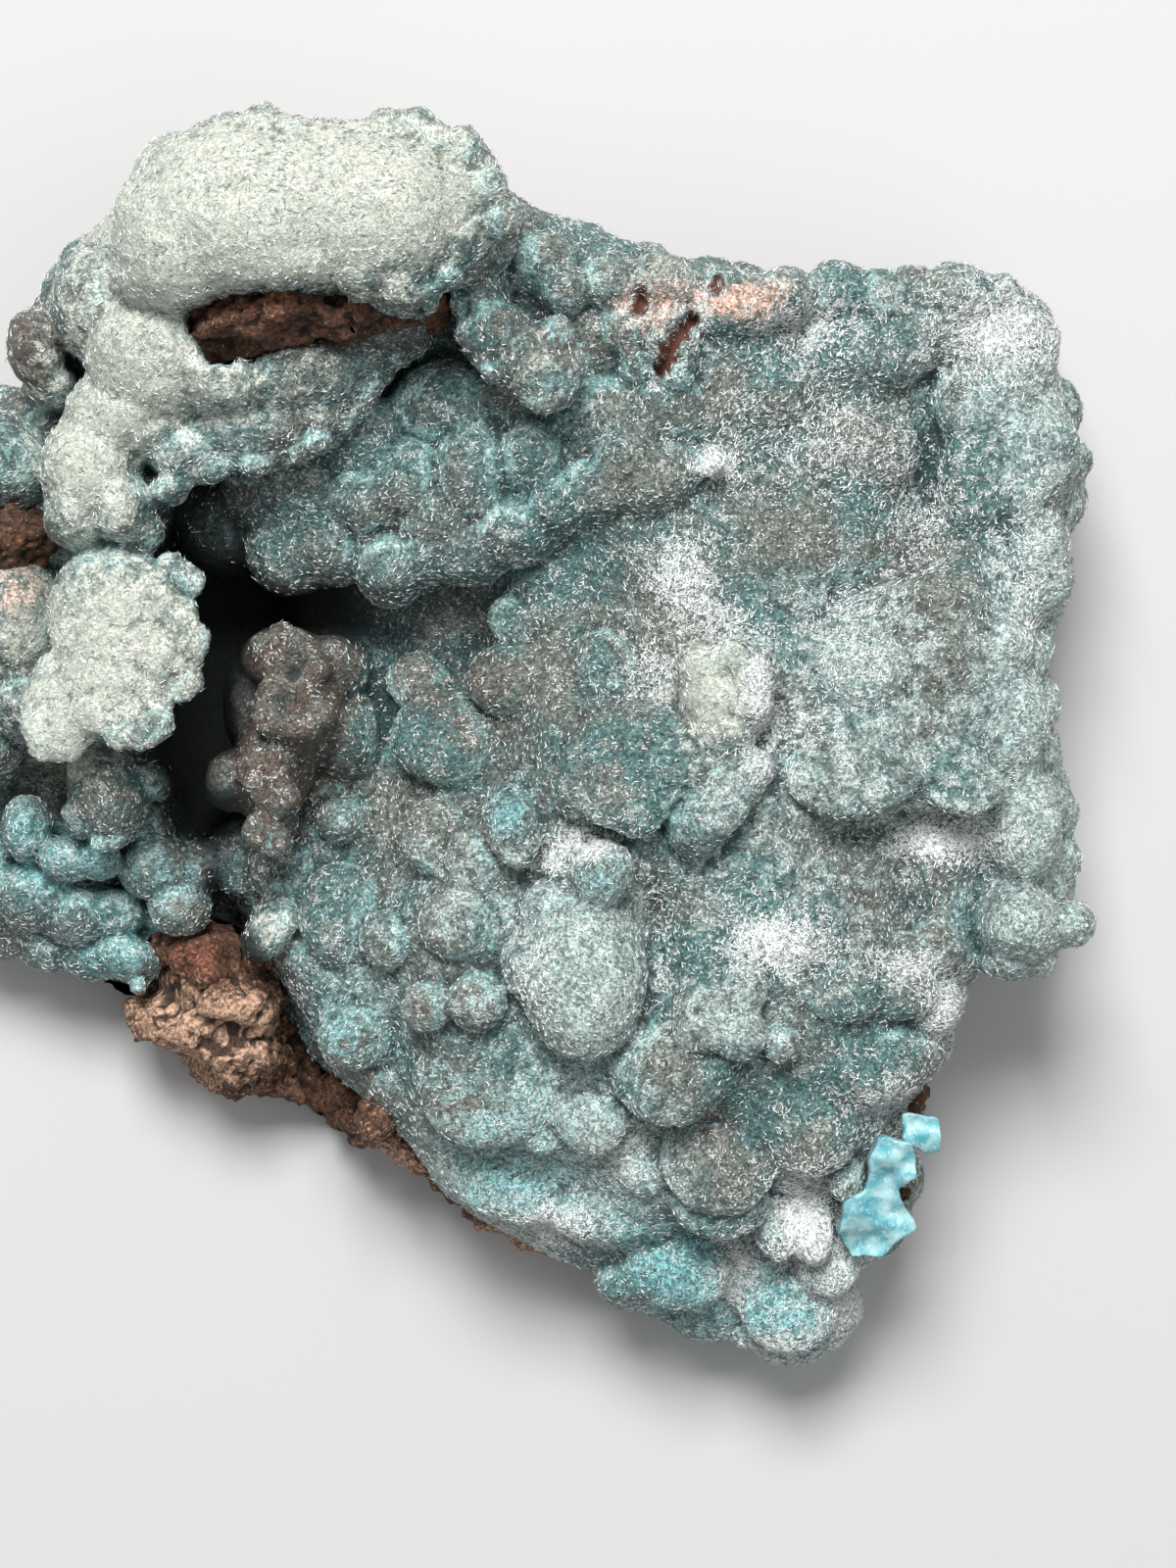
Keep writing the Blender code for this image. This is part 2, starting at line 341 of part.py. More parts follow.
def outline_solid(name, outline, bottom, top, where):
    """The plain slab of an outline, as a filled 2D curve."""
    curve = bpy.data.curves.new(name, "CURVE")
    curve.dimensions = "2D"
    curve.fill_mode = "BOTH"
    curve.extrude = (top - bottom) / 2 * MM
    spline = curve.splines.new("NURBS")
    spline.points.add(len(outline) - 1)
    for point, (x, y) in zip(spline.points, outline):
        point.co = (x * MM, y * MM, 0.0, 1.0)
    spline.use_cyclic_u = True
    spline.order_u = 3
    spline.resolution_u = 3
    slab = guide(name, curve, where)
    slab.location.z = (top + bottom) / 2 * MM
    bpy.context.view_layer.update()
    mesh = evaluated_mesh(slab)
    mesh.transform(slab.matrix_world)
    bpy.data.objects.remove(slab)
    return mesh


def fused(name, mesh, voxel, smoothing, where):
    """Everything in the mesh made one skin, on a grid of this size, and eased a little."""
    made = guide(name, mesh, where)
    remesh = made.modifiers.new("fuse", "REMESH")
    remesh.mode = "VOXEL"
    remesh.voxel_size = voxel * MM
    if smoothing:
        ease = made.modifiers.new("ease", "SMOOTH")
        ease.factor = 0.5
        ease.iterations = smoothing
    mesh = evaluated_mesh(made)
    bpy.data.objects.remove(made)
    return mesh


def points_of(mesh):
    points = np.empty(len(mesh.vertices) * 3)
    mesh.vertices.foreach_get("co", points)
    return points.reshape(-1, 3) / MM


def put_points(mesh, points):
    mesh.vertices.foreach_set("co", (points * MM).ravel())
    mesh.update()


def distance_to_path(xy, path, closed=False):
    """Distance from each place to a run of straight stretches."""
    nearest = np.full(len(xy), 1e9)
    ends = path[1:] + path[:1] if closed else path[1:]
    for start, end in zip(np.array(path, float), np.array(ends, float)):
        along = end - start
        share = np.clip((xy - start) @ along / (along @ along), 0, 1)
        nearest = np.minimum(nearest, np.linalg.norm(xy - start - share[:, None] * along, axis=1))
    return nearest


def blended_height(xy):
    heights = np.array(RELIEF)
    gap = np.linalg.norm(xy[:, None] - heights[None, :, :2], axis=2)
    weight = np.exp(-((gap / RELIEF_SPREAD) ** 2)) + 1e-4 / (1 + gap**2)
    height = weight @ heights[:, 2] / weight.sum(axis=1)
    for width, depth, path in GROOVES:
        height -= depth * np.exp(-((distance_to_path(xy, path) / width) ** 2))
    return height


def relief_height(xy):
    """Height of the smooth relief, blended from the heights near each place as seen from the eye."""
    guess = blended_height(xy)
    return blended_height(xy * ((EYE - FOCUS) / (EYE - guess))[:, None])


def slow_noise(xy, grain, level=0.0):
    return np.array([noise.noise(Vector((x / grain, y / grain, level))) for x, y in xy])


def on_bare_side(x, y):
    """Whether a place is on the broken front side, where the matrix shows right up to the rim."""
    return (x > BARE_SIDE[0]) & (x < BARE_SIDE[1]) & (y < BARE_SIDE[2])


def crust_bulk(where):
    """The slab of the crust's outline, its top pulled to the relief, its shoulder rounded, its foot raised."""
    outline = [in_sight(x, y, RIM_HEIGHT) for x, y in CRUST_OUTLINE]
    mesh = outline_solid("crust_slab", outline, CRUST_FOOT, SLAB_TOP, where)
    mesh = fused("crust_slab", mesh, CRUST_VOXEL, 0, where)
    points = points_of(mesh)
    inside = distance_to_path(points[:, :2], outline, closed=True)
    shoulder = RIM_DROP * (1 - np.sqrt(1 - (1 - np.clip(inside / RIM_WIDTH, 0, 1)) ** 2))
    height = relief_height(points[:, :2]) - shoulder
    low, high = FLANK_FOOT
    end = low + (high - low) * np.clip(0.5 + 0.9 * slow_noise(points[:, :2], FLANK_GRAIN), 0, 1)
    end = np.where(on_bare_side(points[:, 0], points[:, 1]), height - RIM_WIDTH, end)
    end = np.minimum(end, height - RIM_WIDTH)
    foot = CRUST_FOOT + (end - CRUST_FOOT) * (1 - np.clip(inside / FLANK_WIDTH, 0, 1))
    share = (points[:, 2] - CRUST_FOOT) / (SLAB_TOP - CRUST_FOOT)
    points[:, 2] = foot + share * (height - foot)
    points[:, :2] *= (1 - UNDERCUT * (1 - share) ** 2)[:, None]
    put_points(mesh, points)
    return mesh


def rim_beads():
    """Small lobes in tiers along the crust's outline, so that its flanks are botryoidal too."""
    rng = random.Random(SEED)
    beads = []
    corners = [Vector(corner) for corner in CRUST_OUTLINE]
    for start, end in zip(corners, corners[1:] + corners[:1]):
        run = end - start
        inward = Vector((run.y, -run.x)).normalized()
        steps = max(1, round(run.length / RIM_BEAD_STEP))
        for step in range(steps):
            for inset, drop, size in RIM_TIERS:
                spot = start + run * (step + rng.uniform(0.1, 0.9)) / steps
                radius = size * rng.uniform(0.65, 1.25)
                spot += inward * (inset + 0.6 * (radius - size) + rng.uniform(-0.2, 0.4))
                if on_bare_side(spot.x, spot.y):
                    continue
                rim = float(relief_height(np.array([spot + inward * 2]))[0])
                top = max(rim - drop * rng.uniform(0.7, 1.1), FLANK_FOOT[0] + 2.2 * radius)
                beads.append((spot.x, spot.y, top, radius, radius, radius * 1.15, 0))
    return beads


def crust_lobes():
    """All lobes, each group kept to its share of the height over the relief."""
    lobes = []
    for group, listed in LOBES.items():
        rise = LOBE_RISE[group]
        for x, y, top, half_x, half_y, half_z, turn in listed:
            ground = float(relief_height(np.array([in_sight(x, y, top)]))[0])
            height = ground + rise * (top - ground)
            lobes.append((x, y, height, half_x, half_y, half_z * rise, turn))
    return lobes


def domed(mesh):
    """Botryoidal bumps: a rounded dome in each cell of an uneven 3D pattern, with creases between."""
    for cell, height in DOMES:
        normals = [vertex.normal.copy() for vertex in mesh.vertices]
        for vertex, normal in zip(mesh.vertices, normals):
            nearest = noise.voronoi(vertex.co / (cell * MM))[0][0]
            dome = math.sqrt(max(0.0, 1.0 - nearest**2)) - DOME_LEVEL
            vertex.co += normal * dome * height * MM
        mesh.update()
    return mesh


def crust_body(where):
    """Bulk, lobes and rim beads fused in one closed skin."""
    mesh = joined("crust_body", [crust_bulk(where), lobe_mesh("lobes", crust_lobes() + rim_beads())])
    return domed(fused("crust_body", mesh, CRUST_VOXEL, CRUST_EASE, where))


def matrix_body(where):
    """The rock under the crust: a slab that stays under the relief, with the ledge's core and broken lumps."""
    outline = [in_sight(x, y, MATRIX_RIM_HEIGHT) for x, y in MATRIX_OUTLINE]
    mesh = outline_solid("matrix_slab", outline, MATRIX_SLAB_FOOT, SLAB_TOP, where)
    mesh = fused("matrix_slab", mesh, MATRIX_VOXEL, 0, where)
    points = points_of(mesh)
    around = MATRIX_SPREAD * np.array([(0, 0), (1, 0), (-1, 0), (0, 1), (0, -1)])
    low = np.min([relief_height(points[:, :2] + step) for step in around], axis=0)
    inside = distance_to_path(points[:, :2], outline, closed=True)
    width, fall = MATRIX_SHOULDER
    ceiling = low - CRUST_DEPTH - fall * (1 - np.clip(inside / width, 0, 1))
    above = points[:, 2] > 0
    points[above, 2] *= np.maximum(ceiling[above], MATRIX_LEAST) / SLAB_TOP
    put_points(mesh, points)
    mesh = joined("matrix_body", [mesh, lobe_mesh("lumps", LEDGE_CORE + FRONT_ROCK)])
    return fused("matrix_body", mesh, MATRIX_FUSE_VOXEL, 1, where)


def roughened(mesh, reach, grain):
    """Broken rock: each point is moved along its normal by layered noise."""
    normals = [vertex.normal.copy() for vertex in mesh.vertices]
    for vertex, normal in zip(mesh.vertices, normals):
        spot = vertex.co / (grain * MM)
        push = noise.fractal(spot, 0.8, 2.0, 3) + 0.6 * (0.5 - noise.voronoi(spot * 0.7)[0][0])
        vertex.co += normal * push * reach * MM
    mesh.update()
    return mesh


def decimated(name, mesh, triangles, where):
    made = guide(name, mesh, where)
    mesh.calc_loop_triangles()
    fewer = made.modifiers.new("fewer", "DECIMATE")
    fewer.ratio = triangles / len(mesh.loop_triangles)
    fewer.use_collapse_triangulate = True
    ease = made.modifiers.new("ease", "SMOOTH")
    ease.factor = 0.3
    ease.iterations = 1
    mesh = evaluated_mesh(made)
    bpy.data.objects.remove(made)
    return mesh


def cut(name, mesh, cutter_mesh, where):
    made = guide(name, mesh, where)
    cutter = guide(name + "_cutter", cutter_mesh, where)
    boolean = made.modifiers.new("cut", "BOOLEAN")
    boolean.operation = "DIFFERENCE"
    boolean.solver = "EXACT"
    boolean.object = cutter
    mesh = evaluated_mesh(made)
    bpy.data.objects.remove(made)
    bpy.data.objects.remove(cutter)
    return mesh


def largest_piece(mesh):
    """Keeps the one largest connected piece of a mesh and drops crumbs."""
    bm = bmesh.new()
    bm.from_mesh(mesh)
    left = set(bm.verts)
    pieces = []
    while left:
        front = [left.pop()]
        piece = set(front)
        while front:
            near = [edge.other_vert(vert) for vert in front for edge in vert.link_edges]
            front = [vert for vert in set(near) if vert in left]
            left.difference_update(front)
            piece.update(front)
        pieces.append(piece)
    keep = max(pieces, key=len)
    bmesh.ops.delete(bm, geom=[vert for vert in bm.verts if vert not in keep], context="VERTS")
    bmesh.ops.triangulate(bm, faces=bm.faces[:])
    bm.to_mesh(mesh)
    bm.free()
    return mesh


def box_below():
    """A block under z = 0, which makes the flat rest face."""
    bm = bmesh.new()
    size = Matrix.Diagonal((0.2, 0.2, 0.04, 1.0))
    bmesh.ops.create_cube(bm, size=1.0, matrix=Matrix.Translation((0.0, 0.0, -0.02)) @ size)
    mesh = bpy.data.meshes.new("box_below")
    bm.to_mesh(mesh)
    bm.free()
    return mesh


def inflated(mesh, gap):
    """A copy of the mesh, moved outwards by the gap."""
    wide = mesh.copy()
    normals = [vertex.normal.copy() for vertex in mesh.vertices]
    for vertex, normal in zip(wide.vertices, normals):
        vertex.co += normal * gap * MM
    wide.update()
    return wide


def finished(name, mesh, finish, where):
    made = bpy.data.objects.new(name, mesh)
    mesh.name = name
    where.objects.link(made)
    mesh.materials.clear()
    mesh.materials.append(finish)
    mesh.shade_smooth()
    mesh.set_sharp_from_angle(angle=math.radians(50))
    return made


def main():
    clear_scene()
    specimen = collection("hemimorphite_specimen")
    guides = collection("guides", hidden=True)
    crust_finish = material("blue_green_hemimorphite", (0.26, 0.46, 0.46), 0.45)
    rock_finish = material("brown_limonite", (0.25, 0.12, 0.06), 0.9)

    rock = matrix_body(guides)
    for reach, grain in ROCK_ROUGHNESS:
        rock = roughened(rock, reach, grain)
    rock = decimated("rock", rock, MATRIX_TRIANGLES, guides)
    wide = inflated(rock, MATRIX_GAP)
    rock = largest_piece(cut("rock", rock, box_below(), guides))
    skin = decimated("skin", crust_body(guides), CRUST_TRIANGLES, guides)
    skin = largest_piece(cut("skin", skin, wide, guides))

    finished("limonite_matrix", rock, rock_finish, specimen)
    finished("hemimorphite_crust", skin, crust_finish, specimen)


main()
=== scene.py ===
import math
import random

import bmesh
import bpy
import numpy as np
from mathutils import Matrix, Vector, noise
from mathutils.bvhtree import BVHTree


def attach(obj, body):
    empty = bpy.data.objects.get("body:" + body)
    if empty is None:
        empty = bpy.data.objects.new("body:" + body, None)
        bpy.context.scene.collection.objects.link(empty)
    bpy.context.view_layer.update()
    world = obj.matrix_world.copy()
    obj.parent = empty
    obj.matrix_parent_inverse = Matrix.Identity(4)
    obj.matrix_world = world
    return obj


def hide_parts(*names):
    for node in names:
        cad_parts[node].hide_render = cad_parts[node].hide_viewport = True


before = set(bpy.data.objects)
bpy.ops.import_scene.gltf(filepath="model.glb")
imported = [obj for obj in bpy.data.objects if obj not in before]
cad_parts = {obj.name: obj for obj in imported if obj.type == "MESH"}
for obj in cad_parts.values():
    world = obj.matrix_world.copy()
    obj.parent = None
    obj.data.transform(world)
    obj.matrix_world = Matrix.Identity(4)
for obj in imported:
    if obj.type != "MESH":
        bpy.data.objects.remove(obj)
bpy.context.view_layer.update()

# A hemimorphite specimen: a blue-green botryoidal crust on brown limonite, lying on its cut back.
# Places are in millimetres as seen from the eye straight above, and are carried along the line
# of sight to their own height.
mm = 0.001

eye = {"height": 304.0, "sharpHeight": 24.0, "longSide": 100.0, "sensor": 36.0}
sharpDistance = eye["height"] - eye["sharpHeight"]


def inSight(x, y, z):
    share = (eye["height"] - z) / sharpDistance
    return x * share, y * share


def seenPlaces(points):  # the other way round: where points of the specimen show
    return points[:, :2] * (sharpDistance / (eye["height"] - points[:, 2]))[:, None]


# Mesh helpers

def pointsOf(mesh):
    points = np.empty(len(mesh.vertices) * 3)
    mesh.vertices.foreach_get("co", points)
    return points.reshape(-1, 3) / mm


def putPoints(mesh, points):
    mesh.vertices.foreach_set("co", (points * mm).ravel())
    mesh.update()


def normalsOf(mesh):
    normals = np.empty(len(mesh.vertices) * 3)
    mesh.vertex_normals.foreach_get("vector", normals)
    return normals.reshape(-1, 3)


def edgesOf(mesh):
    edges = np.empty(len(mesh.edges) * 2, dtype=np.int64)
    mesh.edges.foreach_get("vertices", edges)
    return edges.reshape(-1, 2)


def facesOf(mesh):  # the voxel grid gives four-cornered faces only
    faces = np.empty(len(mesh.loops), dtype=np.int64)
    mesh.loops.foreach_get("vertex_index", faces)
    return faces.reshape(-1, 4)


def meshFrom(name, points, faces):
    mesh = bpy.data.meshes.new(name)
    mesh.vertices.add(len(points))
    mesh.vertices.foreach_set("co", (np.asarray(points) * mm).ravel())
    sides = faces.shape[1]
    mesh.loops.add(faces.size)
    mesh.loops.foreach_set("vertex_index", faces.ravel().astype(np.int32))
    mesh.polygons.add(len(faces))
    mesh.polygons.foreach_set("loop_start", np.arange(len(faces), dtype=np.int32) * sides)
    mesh.update(calc_edges=True)
    mesh.validate()
    return mesh


def ballShape(detail):
    bm = bmesh.new()
    bmesh.ops.create_icosphere(bm, subdivisions=detail, radius=1.0)
    corners = np.array([vert.co for vert in bm.verts])
    faces = np.array([[vert.index for vert in face.verts] for face in bm.faces])
    bm.free()
    return corners, faces


def lobeMesh(name, lobes, level=0.3):
    # each lobe is a ball made to size: x, y, top, half widths, turn, and how far its front edge lifts
    balls = {detail: ballShape(detail) for detail in (2, 3, 4)}
    corners, faces, count = [], [], 0
    for x, y, top, halfX, halfY, halfZ, turn, lift in lobes:
        least = min(halfX, halfY)
        ball, ballFaces = balls[4 if least > 3.5 else 3 if least > 1.3 else 2]
        x, y = inSight(x, y, top - level * halfZ)
        spin = Matrix.Rotation(math.radians(-lift), 3, "X") @ Matrix.Rotation(math.radians(turn), 3, "Z")
        corners.append((ball * (halfX, halfY, halfZ)) @ np.array(spin).T + (x, y, top - halfZ))
        faces.append(ballFaces + count)
        count += len(ball)
    return meshFrom(name, np.concatenate(corners), np.concatenate(faces))


def joinMeshes(name, meshes):
    bm = bmesh.new()
    for mesh in meshes:
        bm.from_mesh(mesh)
    joined = bpy.data.meshes.new(name)
    bm.to_mesh(joined)
    bm.free()
    return joined


def afterModifiers(thing):
    graph = bpy.context.evaluated_depsgraph_get()
    mesh = bpy.data.meshes.new_from_object(thing.evaluated_get(graph))
    bpy.data.objects.remove(thing)
    return mesh


def helper(name, data):
    thing = bpy.data.objects.new(name, data)
    bpy.context.scene.collection.objects.link(thing)
    return thing


def fuse(name, mesh, grid, smoothing=0, strength=0.5):
    thing = helper(name, mesh)
    remesh = thing.modifiers.new("fuse", "REMESH")
    remesh.mode = "VOXEL"
    remesh.voxel_size = grid * mm
    if smoothing:
        ease = thing.modifiers.new("ease", "SMOOTH")
        ease.factor = strength
        ease.iterations = smoothing
    return afterModifiers(thing)


def outlineSlab(name, outline, bottom, top, kind="NURBS"):
    curve = bpy.data.curves.new(name, "CURVE")
    curve.dimensions = "2D"
    curve.fill_mode = "BOTH"
    curve.extrude = (top - bottom) / 2 * mm
    spline = curve.splines.new(kind)
    spline.points.add(len(outline) - 1)
    for point, (x, y) in zip(spline.points, outline):
        point.co = (x * mm, y * mm, 0.0, 1.0)
    spline.use_cyclic_u = True
    if kind == "NURBS":
        spline.order_u = 3
        spline.resolution_u = 3
    mesh = afterModifiers(helper(name, curve))
    mesh.transform(Matrix.Translation((0, 0, (top + bottom) / 2 * mm)))
    return mesh


def neighbourMean(edges, values):
    total, count = np.zeros_like(values), np.zeros(len(values))
    for near, far in ((0, 1), (1, 0)):
        for axis in range(values.shape[1]):
            total[:, axis] += np.bincount(edges[:, near], values[edges[:, far], axis], len(values))
        count += np.bincount(edges[:, near], minlength=len(values))
    return total / np.maximum(count, 1)[:, None]


def insidePath(places, path):
    inside = np.zeros(len(places), dtype=bool)
    for (startX, startY), (endX, endY) in zip(path, path[1:] + path[:1]):
        crosses = (startY > places[:, 1]) != (endY > places[:, 1])
        run = (endX - startX) / (endY - startY) if endY != startY else 0
        inside ^= crosses & (places[:, 0] < startX + run * (places[:, 1] - startY))
    return inside


def distanceToPath(places, path, closed=False):
    nearest = np.full(len(places), 1e9)
    ends = path[1:] + path[:1] if closed else path[1:]
    for start, end in zip(np.array(path, float), np.array(ends, float)):
        along = end - start
        share = np.clip((places - start) @ along / (along @ along), 0, 1)
        nearest = np.minimum(nearest, np.linalg.norm(places - start - share[:, None] * along, axis=1))
    return nearest


def softNoise(points, grain, shift=0.0):
    return np.array([noise.noise(Vector(point)) for point in points / grain + shift])


def layeredNoise(points, grain, layers=3, shift=0.0):
    return np.array([noise.fractal(Vector(point), 0.8, 2.0, layers) for point in points / grain + shift])


def cellDistance(points, cell, shift=0.0):
    return np.array([noise.voronoi(Vector(point))[0][0] for point in points / cell + shift])


def softSpots(places, spots):  # x, y, radius x, radius y and strength of soft patches
    total = np.zeros(len(places))
    for x, y, radiusX, radiusY, strength in spots:
        across, along = (places[:, 0] - x) / radiusX, (places[:, 1] - y) / radiusY
        total += strength * np.exp(-(across**2) - along**2)
    return np.clip(total, 0, 1)


def storeValue(mesh, name, values):
    layer = mesh.attributes.new(name, "FLOAT", "POINT")
    layer.data.foreach_set("value", np.asarray(values, dtype=np.float32))


# The crust's broad shape

crustShape = {
    "foot": 1.5, "slabTop": 30.0, "flankFoot": (5.0, 12.0), "flankWidth": 6.0, "flankGrain": 9.0,
    "reach": 3.6, "rimWidth": 3.4, "rimDrop": 5.0, "rimHeight": 18.0, "undercut": 0.07,
    "grid": 0.28, "slabGrid": 0.7, "smoothing": 11,
    "softGrid": 0.5, "softSmoothing": 14, "broadGrid": 1.0, "broadSmoothing": 14,
    "bareSide": (-31.0, 0.5, -8.0),
}

crustOutline = [
    (-33.5, 33), (-29.5, 36), (-26.5, 39.5), (-21.5, 41), (-14, 40.8), (-8.5, 39.6), (-5.4, 36.8),
    (-0.5, 35), (5.8, 32.9), (12, 31.9), (18, 32.2), (24, 32.4), (28.6, 30.8), (29.8, 26),
    (31.4, 22.4), (31, 18.6), (30.2, 13.5), (28.8, 9), (29.2, 4), (30.4, -1), (30.4, -7),
    (26.5, -10.5), (24, -12.5), (22.6, -16.5), (20.6, -20), (20.8, -23.5), (19.4, -29), (17, -31),
    (16.4, -34.4), (13, -36.4), (9, -35.8), (3, -33), (-2.5, -31.2), (-9.2, -27.4), (-12, -23),
    (-14.6, -20.4), (-17.6, -19.6), (-20, -18), (-20.3, -14.6), (-22.4, -11), (-25.5, -9.2),
    (-28.2, -9.8), (-30.2, -12.4), (-34, -10.9), (-39, -10.6), (-42, -6), (-41.4, 2), (-42.4, 9),
    (-41.6, 16), (-42.8, 21), (-38.5, 24.3), (-35, 25), (-36, 29.5),
]

reliefHeights = [
    (-27, 31, 28), (-19, 37, 31), (-10, 36.5, 30), (-34, 28.5, 22), (-39, 20, 20),
    (-31.5, 19, 22), (-32, 8, 16), (-38.5, 8, 17), (-37, -1.5, 9), (-38, -7, 10.5),
    (-30, -7.5, 10.5), (-26.5, -10.5, 10), (-22, 17.5, 13), (-24.5, 11, 5.6), (-25.5, 3.5, 5.6),
    (-24, -2, 7.6), (-14.5, 9, 12.5), (-13.5, 2, 15), (-29, -1, 8), (-9, 10, 16),
    (-8, 3.5, 18.5), (-1, 10.5, 21.5), (6, 12.5, 24.2), (-0.5, 3.5, 24.2), (-16, -5, 14.5),
    (-21, -7, 11.5), (-15.5, -12, 18), (-8, -7.5, 22.4), (-8, -16, 21.4), (-3, -20, 20.6),
    (-12.5, -18.5, 16.4), (-17.5, -16, 13), (4, -8, 23.4), (4.6, -15, 23.4), (4, -26, 18.4),
    (-5, -25.5, 15.6), (-4, -29, 12.4), (1.5, -30.5, 12.4), (10, -31, 13), (13, -34.5, 8.6),
    (6, -32.5, 9.6), (14, -8, 23.8), (20.8, -7.6, 21.4), (16, -16, 22.8), (20.6, -19.6, 17.4),
    (18.5, -27, 14.2), (15.4, -21.5, 20.4), (14, 3, 24.4), (23.5, 4, 24), (28.5, 1, 20.6),
    (28.5, -7, 19.6), (13, 14, 24), (21.5, 11, 24.2), (28.6, 13, 20.4), (13, 21.5, 22.8),
    (18.5, 20.5, 22.4), (27.5, 22, 21.8), (27, 29, 22.4), (16.5, 30, 22.4), (8, 26, 25.4),
    (8, 31, 26.6), (0, 31, 27.4), (0.5, 22, 24.6), (-12, 21, 21.4), (-13, 28.5, 23),
]

# width, depth and run of the narrow grooves
reliefGrooves = [
    (1.3, 9, [(-24, -6.5), (-22.2, -9.4), (-20.2, -12.8), (-18.2, -16.2), (-16.8, -18.8)]),
    (2.3, 3, [(25, 27.4), (22.4, 25), (21.6, 21.6), (22, 17.6), (21.4, 15.4)]),
    (0.9, 2.2, [(15.2, 12), (17.6, 12.8), (20.4, 14)]),
    (1.4, 1.4, [(16.4, -3.2), (19.6, -2.6), (23.4, -1.8)]),
    (1.3, 2.2, [(20.2, -5.6), (20.6, -8.6)]),
    (1.1, 2.2, [(25.2, -5.4), (24.8, -9.4)]),
    (0.9, 2.2, [(-8.6, 7), (-7.2, 9), (-3.8, 9.8)]),
    (1.2, 3, [(4.4, -7.6), (4.6, -12.4), (3.6, -17.6)]),
    (0.9, 2, [(-12.6, -4.8), (-10.6, -5.8)]),
    (0.9, 2, [(-12, -15.2), (-12.4, -18)]),
]

